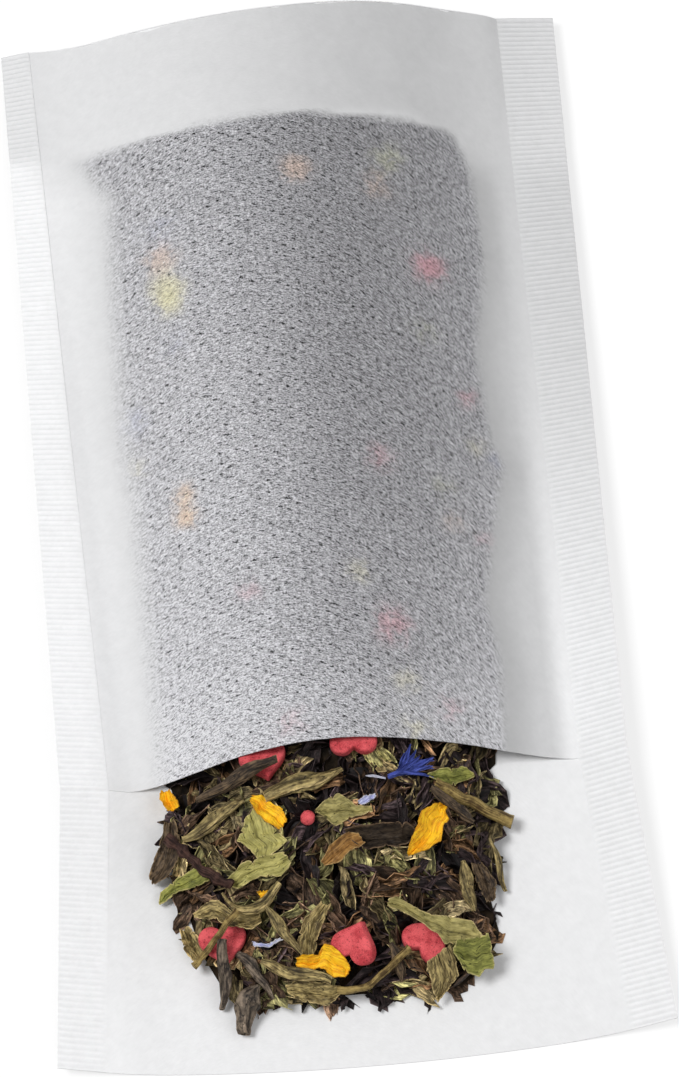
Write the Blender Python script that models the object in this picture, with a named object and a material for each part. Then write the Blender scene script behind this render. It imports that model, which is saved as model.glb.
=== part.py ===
"""Paper tea filter bag, filled and laid open on its back.

One strip of filter paper is folded into a pocket: a back sheet that runs on
past the mouth as a flap, a W fold (the gusset) at the closed end, and a front
sheet. Both long edges are crimped together. A loose tea blend fills the pocket
and spills over the flap, with sugar hearts, petals and leaves lying on it.

X is the width, +Y points at the closed end and -Y at the flap, +Z is up. The
origin is under the middle of the bag, on the surface that it lies on.
"""

import math

import bmesh
import bpy
import numpy as np
from mathutils import Matrix, Vector, noise
from mathutils.bvhtree import BVHTree

MM = 0.001

# Paper: the sheet and the bag it is folded into
PAPER = 0.15 * MM
BAG_WIDTH = 92.6 * MM
POCKET_LENGTH = 132.0 * MM
FLAP_LENGTH = 42.9 * MM
FLAP_BOW = 2.7 * MM
GUSSET_DEPTH = 19.0 * MM
FOLD_WIDTH = 0.4 * MM
NOSE_WIDTH = 1.0 * MM
LAYER_FILM = 0.04 * MM

# How the filled bag lies: seams curled up, mouth drawn in, front sheet arched
EDGE_HEIGHT_CLOSED = 2.0 * MM
EDGE_HEIGHT_MOUTH = 6.0 * MM
EDGE_HEIGHT_FLAP = 3.0 * MM
SEAL_HEIGHT_CLOSED = 3.2 * MM
SEAL_HEIGHT_MOUTH_LEFT = 3.7 * MM
SEAL_HEIGHT_MOUTH_RIGHT = 1.3 * MM
SEAL_HEIGHT_FLAP = 1.2 * MM
CURL_REACH = 12.0 * MM
MOUTH_DRAW = 2.9 * MM
ARCH_HEIGHT = 12.6 * MM
ARCH_POWER_CLOSED_LEFT = 1.05
ARCH_POWER_CLOSED_RIGHT = 0.8
ARCH_POWER_MOUTH = 1.6
ARCH_CREST_CLOSED = 6.5 * MM
ARCH_CREST_MOUTH = -2.0 * MM
ARCH_INSET_MOUTH_LEFT = 3.0 * MM
LIP_PULL = 2.3 * MM
LIP_REACH = 40.0 * MM

# Crimped seams
SEAL_WIDTH = 7.3 * MM
SEAL_SKEW = 2.6 * MM
CRIMP_PITCH = 0.9 * MM
CRIMP_HEIGHT = 0.15 * MM
CRIMP_START = 0.5 * MM

# Tea: what fills the pocket and what has spilled from the mouth
GAP = 0.35 * MM
TEA_EDGE = 1.2 * MM
LIP_ROOM = 3.1 * MM
LIP_ROOM_DEPTH = 9.0 * MM
LIP_ROOM_FADE = 10.0 * MM
SPILL_LENGTH = 37.0 * MM
SPILL_HEIGHT = 9.0 * MM
SPILL_TOE = 1.5 * MM
SPILL_RISE = 9.25 * MM
LUMP = 0.9 * MM
LUMP_SPAN = 4.0 * MM

# How sharply the heap falls: down its length, to its toe, and to its sides
SLOPE_POWER = 0.8
TOE_POWER = 6
SIDE_POWER = 2.4
DOME_POWER = 0.7
RIM_POWER = 8

# Loose pieces: the width of bag that their places below are noted for
NOTED_WIDTH = 92.6 * MM

# Pressed sugar
HEART_WIDTH = 7.4 * MM
HEART_THICKNESS = 2.1 * MM
HEART_ROUNDNESS = 0.28
HEART_SIDES = 22
BEAD_SIZE = 2.2 * MM

# A heart's rounded edge: (share of its width, share of its thickness)
HEART_RINGS = ((0.84, 0.0), (1.0, 0.28), (1.0, 0.72), (0.84, 1.0))

# Leaves, petals and stalks
LEAF_THICKNESS = 0.35 * MM
ROLL_TIP = 0.35
ROLL_FLATNESS = 0.7
ROLL_TWIST = 2.0
TUBE_SIDES = 6

# Side margins of the tea from the seals: (share of the way in, left, right)
TEA_MARGINS = (
    (0.0, 9.0 * MM, 12.3 * MM),
    (0.2, 9.5 * MM, 10.0 * MM),
    (0.5, 9.5 * MM, 8.0 * MM),
    (0.8, 8.5 * MM, 7.5 * MM),
    (1.0, 7.5 * MM, 7.5 * MM),
)

# The same for the spill: (distance out from the mouth, left, right)
SPILL_MARGINS = (
    (0.0 * MM, 9.0 * MM, 12.3 * MM),
    (6.0 * MM, 7.5 * MM, 11.8 * MM),
    (13.0 * MM, 8.0 * MM, 13.5 * MM),
    (20.0 * MM, 10.5 * MM, 15.5 * MM),
    (27.0 * MM, 13.0 * MM, 15.0 * MM),
    (32.0 * MM, 16.0 * MM, 18.5 * MM),
    (35.0 * MM, 20.0 * MM, 23.5 * MM),
    (37.0 * MM, 27.0 * MM, 31.0 * MM),
)

# Mesh steps
PANEL_COLUMNS = 16
FLAP_ROWS = 7
POCKET_ROWS = 18
GUSSET_ROWS = 4
TEA_COLUMNS = 12
TEA_ROWS = 16
SPILL_ROWS = 12

# Places along the bag
FULL_LENGTH = POCKET_LENGTH + FLAP_LENGTH + FLAP_BOW
Y_CLOSED = FULL_LENGTH / 2
Y_MOUTH = Y_CLOSED - POCKET_LENGTH
Y_GUSSET = Y_CLOSED - GUSSET_DEPTH

# Layers of the folded sheet, counted upwards
(BACK_UNDER, BACK_TOP, LEAF_A_UNDER, LEAF_A_TOP,
 LEAF_B_UNDER, LEAF_B_TOP, FRONT_UNDER, FRONT_TOP) = range(8)

# Colours, linear
WHITE_PAPER = (0.86, 0.86, 0.87)
DARK_TEA = (0.030, 0.024, 0.018)
SUGAR_PINK = (0.72, 0.09, 0.13)
PETAL_YELLOW = (0.90, 0.48, 0.02)
PETAL_TAN = (0.40, 0.22, 0.06)
CORNFLOWER_BLUE = (0.05, 0.08, 0.42)
LILAC = (0.42, 0.42, 0.72)
LEAF_GREEN = (0.15, 0.20, 0.06)
LEAF_OLIVE = (0.16, 0.14, 0.055)
LEAF_BROWN = (0.09, 0.055, 0.025)
LEAF_BLACK = (0.028, 0.022, 0.022)
STEM_TAN = (0.22, 0.16, 0.06)


def clear_scene():
    """Remove every object, so that the script can run in an open file."""
    for old in list(bpy.data.objects):
        bpy.data.objects.remove(old, do_unlink=True)


def material(name, colour, roughness):
    """Return the named Principled material, made on first use."""
    found = bpy.data.materials.get(name)
    if found:
        return found
    made = bpy.data.materials.new(name)
    made.use_nodes = True
    shader = made.node_tree.nodes["Principled BSDF"]
    shader.inputs["Base Color"].default_value = (*colour, 1.0)
    shader.inputs["Roughness"].default_value = roughness
    shader.inputs["Metallic"].default_value = 0.0
    return made


def add_object(name, verts, faces, finish):
    """Make one closed, triangulated object with its faces pointing out."""
    mesh = bpy.data.meshes.new(name)
    mesh.from_pydata([tuple(v) for v in verts], [], faces)
    work = bmesh.new()
    work.from_mesh(mesh)
    bmesh.ops.triangulate(work, faces=work.faces[:])
    bmesh.ops.recalc_face_normals(work, faces=work.faces[:])
    work.to_mesh(mesh)
    work.free()
    mesh.shade_smooth()
    mesh.set_sharp_from_angle(angle=math.radians(40))
    mesh.materials.append(finish)
    made = bpy.data.objects.new(name, mesh)
    bpy.context.scene.collection.objects.link(made)
    return made


def ramp(points, at, column):
    """Read one column of a list of rows, with straight runs between them."""
    return float(np.interp(at, [p[0] for p in points], [p[column] for p in points]))


def smooth(t):
    """Ease from 0 to 1."""
    t = min(max(t, 0.0), 1.0)
    return t * t * (3 - 2 * t)


# The lie of the bag

def along(y):
    """Share of the pocket's length from the mouth (0) to the closed end (1)."""
    return min(max((y - Y_MOUTH) / POCKET_LENGTH, 0.0), 1.0)


def down_flap(y):
    """Share of the flap's length from the mouth (0) to its end (1)."""
    return min(max((Y_MOUTH - y) / FLAP_LENGTH, 0.0), 1.0)


def between(closed, mouth, flap, y):
    """A value that runs evenly from the closed end to the mouth to the flap's end."""
    return mouth + (closed - mouth) * along(y) + (flap - mouth) * down_flap(y)


def half_width(y):
    """Half of the bag's width, drawn in at the mouth by the filling."""
    return BAG_WIDTH / 2 - between(0.0, MOUTH_DRAW, 0.0, y)


def seal_left(y):
    """X of the left seal's inner edge."""
    return -half_width(y) + SEAL_WIDTH - SEAL_SKEW * along(y)


def seal_right(y):
    """X of the right seal's inner edge."""
    return half_width(y) - SEAL_WIDTH - SEAL_SKEW * along(y)


def back_height(x, y):
    """Height of the back sheet's underside: flat, with its edges curled up."""
    mouth = SEAL_HEIGHT_MOUTH_LEFT if x < 0 else SEAL_HEIGHT_MOUTH_RIGHT
    seal_height = between(SEAL_HEIGHT_CLOSED, mouth, SEAL_HEIGHT_FLAP, y)
    seal_edge = -seal_left(y) if x < 0 else seal_right(y)
    inward = seal_edge - abs(x)
    if inward >= 0:
        return seal_height * max(0.0, 1 - inward / CURL_REACH) ** 2
    edge_height = between(EDGE_HEIGHT_CLOSED, EDGE_HEIGHT_MOUTH, EDGE_HEIGHT_FLAP, y)
    share = -inward / (half_width(y) - seal_edge)
    return seal_height + (edge_height - seal_height) * share


def across(x, y):
    """Place across the arch: 0 on its crest, -1 and 1 where it starts at the seals."""
    crest = between(ARCH_CREST_CLOSED, ARCH_CREST_MOUTH, ARCH_CREST_MOUTH, y)
    inset = between(0.0, ARCH_INSET_MOUTH_LEFT, ARCH_INSET_MOUTH_LEFT, y)
    side = crest - seal_left(y) - inset if x < crest else seal_right(y) - crest
    return min(max((x - crest) / side, -1.0), 1.0)


def arch(x, y):
    """Room between the two sheets that the filling has opened."""
    place = across(x, y)
    closed = ARCH_POWER_CLOSED_LEFT if place < 0 else ARCH_POWER_CLOSED_RIGHT
    power = between(closed, ARCH_POWER_MOUTH, ARCH_POWER_MOUTH, y)
    return ARCH_HEIGHT * (1 - place ** 2) ** power


def layer_heights(x, y, in_gusset):
    """Heights of the eight paper surfaces at one place, bottom to top."""
    base = back_height(x, y)
    spare = arch(x, y)
    back_top = base + PAPER
    if not in_gusset:
        front = back_top + LAYER_FILM + spare
        return [base, back_top, None, None, None, None, front, front + PAPER]
    opened = (y - Y_GUSSET) / GUSSET_DEPTH
    finger = LAYER_FILM + spare * (1 - opened) / 2
    wedge = LAYER_FILM + spare * opened
    leaf_a = back_top + finger
    leaf_b = leaf_a + PAPER + wedge
    front = leaf_b + PAPER + finger
    return [base, back_top, leaf_a, leaf_a + PAPER, leaf_b, leaf_b + PAPER, front, front + PAPER]


# The folded sheet

def sheet_rows():
    """Rows from the flap's end to the closed end: (y, what lies beyond it)."""
    rows = []
    for n in range(FLAP_ROWS):
        rows.append((Y_MOUTH - FLAP_LENGTH * (1 - n / FLAP_ROWS), "flap"))
    reach = Y_GUSSET - NOSE_WIDTH - Y_MOUTH
    for n in range(POCKET_ROWS):
        rows.append((Y_MOUTH + reach * n / POCKET_ROWS, "pocket"))
    rows.append((Y_GUSSET - NOSE_WIDTH, "pocket"))
    rows.append((Y_GUSSET, "nose"))
    start = Y_GUSSET + NOSE_WIDTH
    reach = Y_CLOSED - FOLD_WIDTH - start
    for n in range(GUSSET_ROWS):
        rows.append((start + reach * n / GUSSET_ROWS, "gusset"))
    rows.append((Y_CLOSED - FOLD_WIDTH, "fold"))
    rows.append((Y_CLOSED, "end"))
    return rows


# Paper between two rows, as pairs of layers
PAPER_IN = {
    "flap": [(BACK_UNDER, BACK_TOP)],
    "pocket": [(BACK_UNDER, BACK_TOP), (FRONT_UNDER, FRONT_TOP)],
    "nose": [(BACK_UNDER, BACK_TOP), (LEAF_A_UNDER, LEAF_B_TOP), (FRONT_UNDER, FRONT_TOP)],
    "gusset": [(BACK_UNDER, BACK_TOP), (LEAF_A_UNDER, LEAF_A_TOP),
               (LEAF_B_UNDER, LEAF_B_TOP), (FRONT_UNDER, FRONT_TOP)],
    "fold": [(BACK_UNDER, LEAF_A_TOP), (LEAF_B_UNDER, FRONT_TOP)],
    "end": [],
}


def bowed(x, y):
    """Y of a place on the flap, whose cut end bows out in the middle."""
    return y - FLAP_BOW * down_flap(y) * (1 - (x / half_width(y)) ** 2)


def gaps_between(solids, low, high):
    """The open spans that a stack of solid spans leaves from low to high."""
    spans = []
    floor = low
    for start, stop in solids:
        if start > floor:
            spans.append((floor, start))
        floor = stop
    if floor < high:
        spans.append((floor, high))
    return spans


def end_spans(before, after):
    """Spans that are paper on one side of a row and open on the other."""
    filled = [set(), set()]
    for side, solids in enumerate((before, after)):
        for start, stop in solids:
            filled[side].update(range(start, stop))
    cells = sorted(filled[0] ^ filled[1])
    spans = []
    for cell in cells:
        same = spans and spans[-1][1] == cell
        if same and (cell in filled[0]) == (spans[-1][0] in filled[0]):
            spans[-1] = (spans[-1][0], cell + 1)
        else:
            spans.append((cell, cell + 1))
    return spans


class Sheet:
    """The folded sheet's surface, gathered as faces between named places."""

    def __init__(self):
        self.rows = sheet_rows()
        self.faces = []
        self.verts = []
        self.index = {}
        self.levels = {}

    def x_at(self, column, y):
        """X of a column: 0 and the last are the cut edges."""
        last = PANEL_COLUMNS + 2
        if column == 0:
            return -half_width(y)
        if column == last:
            return half_width(y)
        share = (column - 1) / PANEL_COLUMNS
        return seal_left(y) + (seal_right(y) - seal_left(y)) * share

    def point(self, key):
        """Where a (column, row, layer) key lies."""
        column, row, layer = key
        y = self.rows[row][0]
        x = self.x_at(column, y)
        z = layer_heights(x, y, y >= Y_GUSSET)[layer]
        if layer >= FRONT_UNDER:
            pull = max(0.0, 1 - (y - Y_MOUTH) / LIP_REACH)
            return Vector((x, y + LIP_PULL * (1 - across(x, y) ** 2) * pull, z))
        return Vector((x, bowed(x, y), z))

    def vertex(self, key):
        """Index of a key's vertex, made on first use."""
        if key not in self.index:
            self.index[key] = len(self.verts)
            self.verts.append(self.point(key))
            self.levels.setdefault(key[:2], set()).add(key[2])
        return self.index[key]

    def loose(self, place):
        """Index of a vertex that no key names."""
        self.verts.append(place)
        return len(self.verts) - 1

    def face(self, *keys):
        """Add one face, given by its keys in order."""
        for key in keys:
            self.vertex(key)
        self.faces.append(list(keys))

    def finished_faces(self):
        """Faces as vertex indices, with the corners of neighbours let in."""
        done = []
        for keys in self.faces:
            ring = []
            for here, after in zip(keys, keys[1:] + keys[:1]):
                ring.append(here if isinstance(here, int) else self.index[here])
                if isinstance(here, int) or isinstance(after, int) or here[:2] != after[:2]:
                    continue
                step = 1 if after[2] > here[2] else -1
                for level in range(here[2] + step, after[2], step):
                    if level in self.levels[here[:2]]:
                        ring.append(self.index[(*here[:2], level)])
            done.append(ring)
        return done


def add_panels(sheet):
    """Faces of every layer between the two seals."""
    rows = sheet.rows
    for row in range(len(rows) - 1):
        solids = PAPER_IN[rows[row][1]]
        for column in range(1, PANEL_COLUMNS + 1):
            for level in [edge for span in solids for edge in span]:
                sheet.face((column, row, level), (column + 1, row, level),
                           (column + 1, row + 1, level), (column, row + 1, level))
    for row in range(len(rows)):
        before = PAPER_IN[rows[row - 1][1]] if row else []
        for low, high in end_spans(before, PAPER_IN[rows[row][1]]):
            for column in range(1, PANEL_COLUMNS + 1):
                sheet.face((column, row, low), (column + 1, row, low),
                           (column + 1, row, high), (column, row, high))


def add_pocket_sides(sheet):
    """Walls where the open spaces inside the bag meet the seals."""
    for row in range(len(sheet.rows) - 1):
        kind = sheet.rows[row][1]
        if kind == "flap":
            continue
        for low, high in gaps_between(PAPER_IN[kind], BACK_UNDER, FRONT_TOP):
            for column in (1, PANEL_COLUMNS + 1):
                sheet.face((column, row, low), (column, row + 1, low),
                           (column, row + 1, high), (column, row, high))


def band_thickness(y):
    """Thickness of the sealed layers: one, two or four sheets."""
    if y < Y_MOUTH:
        return PAPER
    if y < Y_GUSSET:
        return 2 * PAPER + LAYER_FILM
    return 4 * PAPER + 3 * LAYER_FILM


def stitch(sheet, chain_a, chain_b):
    """Triangles between two chains of (vertex, y) that both run down in y."""
    a, b = 0, 0
    while a < len(chain_a) - 1 or b < len(chain_b) - 1:
        b_done = b == len(chain_b) - 1
        if b_done or (a < len(chain_a) - 1 and chain_a[a + 1][1] >= chain_b[b + 1][1]):
            sheet.faces.append([chain_a[a][0], chain_a[a + 1][0], chain_b[b][0]])
            a += 1
        else:
            sheet.faces.append([chain_a[a][0], chain_b[b + 1][0], chain_b[b][0]])
            b += 1


def crimp_line(sheet, side, inset):
    """One line along the seam's crimps, as (vertex, y), from the closed end."""
    count = 2 * int(round((POCKET_LENGTH + FLAP_LENGTH) / CRIMP_PITCH))
    line = []
    for n in range(count + 1):
        y = Y_CLOSED - (POCKET_LENGTH + FLAP_LENGTH) * n / count
        seal = half_width(y) - (-seal_left(y) if side < 0 else seal_right(y))
        x = side * (half_width(y) - (seal - CRIMP_START) * inset)
        ridge = CRIMP_HEIGHT if n % 2 else 0.0
        z = back_height(x, y) + band_thickness(y) + ridge
        line.append((sheet.loose(Vector((x, bowed(x, y), z))), y))
    return line


def add_seam(sheet, side):
    """One crimped seam: its underside, its ridges, its edge and its ends."""
    rows = sheet.rows
    edge = 0 if side < 0 else PANEL_COLUMNS + 2
    inner = 1 if side < 0 else PANEL_COLUMNS + 1
    last = len(rows) - 1
    for row in range(last):
        sheet.face((edge, row, BACK_UNDER), (inner, row, BACK_UNDER),
                   (inner, row + 1, BACK_UNDER), (edge, row + 1, BACK_UNDER))
    inner_chain = []
    under_chain = []
    for row in range(last, -1, -1):
        y, kind = rows[row]
        if kind != "flap":
            inner_chain.append((sheet.vertex((inner, row, FRONT_TOP)), y))
        if row == FLAP_ROWS:
            inner_chain.append((sheet.vertex((inner, row, FRONT_UNDER)), y))
        if row <= FLAP_ROWS:
            inner_chain.append((sheet.vertex((inner, row, BACK_TOP)), y))
        under_chain.append((sheet.vertex((edge, row, BACK_UNDER)), y))
    crest = crimp_line(sheet, side, 1.0)
    rim = crimp_line(sheet, side, 0.0)
    stitch(sheet, inner_chain, crest)
    stitch(sheet, crest, rim)
    stitch(sheet, rim, under_chain)
    for row, end, top in ((last, 0, FRONT_TOP), (0, -1, BACK_TOP)):
        sheet.faces.append([(edge, row, BACK_UNDER), (inner, row, BACK_UNDER),
                            (inner, row, top), crest[end][0], rim[end][0]])


def build_filter_bag():
    """The bag: one folded and crimped sheet of filter paper."""
    sheet = Sheet()
    add_panels(sheet)
    add_pocket_sides(sheet)
    add_seam(sheet, -1)
    add_seam(sheet, 1)
    paper = material("filter paper", WHITE_PAPER, 0.9)
    return add_object("filter_bag", sheet.verts, sheet.finished_faces(), paper)


# The tea blend

def lumps(x, y):
    """Uneven surface of loose leaf, from -1 to 1."""
    place = Vector((x, y, 0.0)) / LUMP_SPAN
    return noise.noise(place) + 0.5 * noise.noise(place * 2.3)


def tea_sides(y):
    """Left and right edges of the tea at one place along the bag."""
    if y >= Y_MOUTH:
        share = (y - Y_MOUTH) / (Y_GUSSET - Y_MOUTH)
        left, right = ramp(TEA_MARGINS, share, 1), ramp(TEA_MARGINS, share, 2)
    else:
        left, right = ramp(SPILL_MARGINS, Y_MOUTH - y, 1), ramp(SPILL_MARGINS, Y_MOUTH - y, 2)
    return seal_left(y) + left, seal_right(y) - right


def pocket_tea_top(x, y):
    """Top of the tea under the front sheet, lower just inside the lip."""
    layers = layer_heights(x, y, False)
    room = 1 - smooth((y - Y_MOUTH - LIP_ROOM_DEPTH) / LIP_ROOM_FADE)
    top = layers[FRONT_UNDER] - GAP - LIP_ROOM * room
    return top - LUMP * (0.5 + 0.5 * lumps(x, y))


def spill_top(x, y, place):
    """Top of the spilled heap; place runs from -1 to 1 across it."""
    out = min((Y_MOUTH - y) / SPILL_LENGTH, 1.0)
    crown = SPILL_HEIGHT * (1 - out) ** SLOPE_POWER + SPILL_TOE * (1 - out ** TOE_POWER)
    dome = crown * (1 - min(abs(place), 1.0) ** SIDE_POWER) ** DOME_POWER
    return dome + LUMP * lumps(x, y) * (1 - abs(place) ** 4)


def tea_point(y, place, top):
    """A point on the tea's upper or lower surface."""
    left, right = tea_sides(y)
    x = left + (right - left) * (place + 1) / 2
    low = back_height(x, max(y, Y_MOUTH - FLAP_LENGTH)) + PAPER + GAP
    if not top:
        return Vector((x, y, low))
    edge = low + TEA_EDGE
    inside = pocket_tea_top(x, max(y, Y_MOUTH))
    outside = low + spill_top(x, min(y, Y_MOUTH), place)
    blend = smooth((Y_MOUTH - y) / SPILL_RISE)
    high = inside + (outside - inside) * blend
    return Vector((x, y, max(edge, edge + (high - edge) * (1 - abs(place) ** RIM_POWER))))


def build_tea():
    """The bulk of the blend: one lumpy body in the pocket and on the flap."""
    rows = [Y_GUSSET - NOSE_WIDTH - (Y_GUSSET - NOSE_WIDTH - Y_MOUTH) * n / TEA_ROWS
            for n in range(TEA_ROWS)]
    rows += [Y_MOUTH - SPILL_LENGTH * n / SPILL_ROWS for n in range(SPILL_ROWS + 1)]
    verts, faces = [], []
    for top in (False, True):
        for y in rows:
            for n in range(TEA_COLUMNS + 1):
                verts.append(tea_point(y, 2 * n / TEA_COLUMNS - 1, top))
    width = TEA_COLUMNS + 1
    layer = width * len(rows)
    for row in range(len(rows) - 1):
        for n in range(TEA_COLUMNS):
            first = row * width + n
            for base in (first, first + layer):
                faces.append([base, base + 1, base + width + 1, base + width])
        for n in (0, TEA_COLUMNS):
            first = row * width + n
            faces.append([first, first + width, first + width + layer, first + layer])
    for row in (0, len(rows) - 1):
        for n in range(TEA_COLUMNS):
            first = row * width + n
            faces.append([first, first + 1, first + 1 + layer, first + layer])
    return add_object("tea_blend", verts, faces, material("dark tea leaf", DARK_TEA, 0.7))


# Pieces that lie on the tea

class Ground:
    """What a piece comes to rest on: the flap and everything laid before."""

    def __init__(self):
        self.trees = []
        self.points = []

    def add(self, thing):
        """Count an object as ground for the pieces that follow."""
        verts = [v.co.copy() for v in thing.data.vertices]
        polygons = [tuple(p.vertices) for p in thing.data.polygons]
        self.trees.append(BVHTree.FromPolygons(verts, polygons))
        self.points.append(verts)

    def height(self, x, y):
        """Height of the ground at one place."""
        best = back_height(x, max(y, Y_MOUTH - FLAP_LENGTH)) + PAPER
        for tree in self.trees:
            hit = tree.ray_cast(Vector((x, y, 1.0)), Vector((0, 0, -1)))[0]
            if hit is not None:
                best = max(best, hit.z)
        return best


def lean(ground, points):
    """Plane that best follows the ground under some points: a, b, c of ax+by+c."""
    rows = [(p.x, p.y, 1.0) for p in points]
    heights = [ground.height(p.x, p.y) for p in points]
    return np.linalg.lstsq(np.array(rows), np.array(heights), rcond=None)[0]


def lay(ground, verts, faces):
    """Lay a piece on the ground: follow its slope, then rest just clear of it."""
    slope_x, slope_y, level = lean(ground, verts)
    laid = [Vector((v.x, v.y, v.z + slope_x * v.x + slope_y * v.y + level)) for v in verts]
    tests = list(laid)
    for face in faces:
        corners = [laid[n] for n in face]
        tests.append(sum(corners, Vector()) / len(corners))
        for one, two in zip(corners, corners[1:] + corners[:1]):
            tests.append((one + two) / 2)
    clear = min(p.z - ground.height(p.x, p.y) for p in tests)
    tree = BVHTree.FromPolygons(laid, faces)
    for points in ground.points:
        for p in points:
            hit = tree.ray_cast(Vector((p.x, p.y, -1.0)), Vector((0, 0, 1)))[0]
            if hit is not None:
                clear = min(clear, hit.z - p.z)
    lift = Vector((0, 0, GAP - clear))
    return [v + lift for v in laid]


def put(ground, name, shape, finish):
    """Lay a shape, make it an object and let it carry what comes later."""
    verts, faces = shape
    work = bmesh.new()
    made = [work.verts.new(v) for v in verts]
    for face in faces:
        work.faces.new([made[n] for n in face])
    bmesh.ops.triangulate(work, faces=work.faces[:])
    work.verts.index_update()
    triangles = [tuple(v.index for v in face.verts) for face in work.faces]
    work.free()
    thing = add_object(name, lay(ground, verts, triangles), triangles, finish)
    ground.add(thing)
    return thing


def shift(x):
    """How far a loose piece at x moves sideways in a bag of another width, to keep with the tea."""
    return x * (BAG_WIDTH / NOTED_WIDTH - 1)


def placed(verts, x, from_mouth, turn, tilt_axis=0.0, tilt=0.0):
    """Turn a flat shape about Z, tilt it about a level axis and carry it to its place."""
    axis = Vector((math.cos(tilt_axis), math.sin(tilt_axis), 0))
    move = (Matrix.Translation((x + shift(x), Y_MOUTH - from_mouth, 0))
            @ Matrix.Rotation(tilt, 4, axis) @ Matrix.Rotation(turn, 4, "Z"))
    return [move @ v for v in verts]


def ring_faces(rings, size):
    """Side faces between rings of vertices, with both ends closed."""
    faces = [list(range(size))[::-1]]
    for ring in range(rings - 1):
        for n in range(size):
            after = (n + 1) % size
            faces.append([ring * size + n, ring * size + after,
                          (ring + 1) * size + after, (ring + 1) * size + n])
    faces.append([(rings - 1) * size + n for n in range(size)])
    return faces


def heart_outline(width, count):
    """A plump heart with its point towards -Y: the heart curve, rounded off by an oval."""
    points = []
    for n in range(count):
        t = 2 * math.pi * n / count
        x = 16 * math.sin(t) ** 3
        y = 13 * math.cos(t) - 5 * math.cos(2 * t) - 2 * math.cos(3 * t) - math.cos(4 * t)
        curve = Vector((x, y + 2.5, 0))
        oval = Vector((15 * math.sin(t), 13 * math.cos(t), 0))
        points.append(curve.lerp(oval, HEART_ROUNDNESS) * (width / 32))
    return points


def heart(width, thickness):
    """A pressed sugar heart with rounded edges."""
    outline = heart_outline(width, HEART_SIDES)
    verts = []
    for size, height in HEART_RINGS:
        verts += [Vector((p.x * size, p.y * size, thickness * height)) for p in outline]
    return verts, ring_faces(len(HEART_RINGS), len(outline))


def bead(size):
    """A round sugar bead."""
    work = bmesh.new()
    bmesh.ops.create_icosphere(work, subdivisions=2, radius=size / 2)
    verts = [v.co + Vector((0, 0, size / 2)) for v in work.verts]
    faces = [[v.index for v in face.verts] for face in work.faces]
    work.free()
    return verts, faces


def path_frames(path, steps):
    """Evenly counted points along a smooth path, each with its sideways direction."""
    places = []
    last = len(path) - 1
    for n in range(steps + 1):
        t = n / steps * last
        k = min(int(t), last - 1)
        f = t - k
        p0, p1 = path[max(k - 1, 0)], path[k]
        p2, p3 = path[k + 1], path[min(k + 2, last)]
        places.append(Vector([
            0.5 * (2 * b + (c - a) * f + (2 * a - 5 * b + 4 * c - d) * f ** 2
                   + (3 * b - a - 3 * c + d) * f ** 3)
            for a, b, c, d in zip(p0, p1, p2, p3)]))
    frames = []
    for n, here in enumerate(places):
        ahead = (places[min(n + 1, steps)] - places[max(n - 1, 0)]).normalized()
        frames.append((here, Vector((-ahead.y, ahead.x, 0)).normalized()))
    return frames


def on_spill(points):
    """Plan points as (x, distance from the mouth) in millimetres, in place."""
    middle = sum(x for x, out in points) / len(points) * MM
    return [Vector((x * MM + shift(middle), Y_MOUTH - out * MM, 0.0)) for x, out in points]


def blade(path, widths, cup, steps=6):
    """A flat leaf or petal along a path, cupped upwards at its sides."""
    frames = path_frames(on_spill(path), steps)
    sides = (-1.0, -0.4, 0.4, 1.0)
    verts = []
    for n, (here, side) in enumerate(frames):
        share = n / steps * (len(widths) - 1)
        wide = float(np.interp(share, range(len(widths)), widths)) * MM / 2
        section = []
        for s in sides:
            section.append(here + side * wide * s + Vector((0, 0, cup * MM * s * s)))
        verts += section
        verts += [p + Vector((0, 0, LEAF_THICKNESS)) for p in reversed(section)]
    return verts, ring_faces(steps + 1, 2 * len(sides))


def rolled(path, thick, steps=8):
    """A rolled, twisted leaf: a flattened tube that tapers to both ends."""
    frames = path_frames(on_spill(path), steps)
    verts = []
    for n, (here, side) in enumerate(frames):
        t = n / steps
        swell = math.sin(math.pi * (0.08 + 0.84 * t))
        radius = thick * MM / 2 * (ROLL_TIP + (1 - ROLL_TIP) * swell)
        turn = ROLL_TWIST * t
        for k in range(TUBE_SIDES):
            angle = 2 * math.pi * k / TUBE_SIDES
            out = radius * math.cos(angle)
            up = radius * ROLL_FLATNESS * math.sin(angle)
            wide = out * math.cos(turn) - up * math.sin(turn)
            high = out * math.sin(turn) + up * math.cos(turn)
            verts.append(here + side * wide + Vector((0, 0, high)))
    return verts, ring_faces(steps + 1, TUBE_SIDES)


def stem(path, thick, steps=7):
    """A stalk of even thickness."""
    frames = path_frames(on_spill(path), steps)
    radius = thick * MM / 2
    verts = []
    for here, side in frames:
        for k in range(TUBE_SIDES):
            angle = 2 * math.pi * k / TUBE_SIDES
            verts.append(here + side * radius * math.cos(angle)
                         + Vector((0, 0, radius * math.sin(angle))))
    return verts, ring_faces(steps + 1, TUBE_SIDES)


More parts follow.
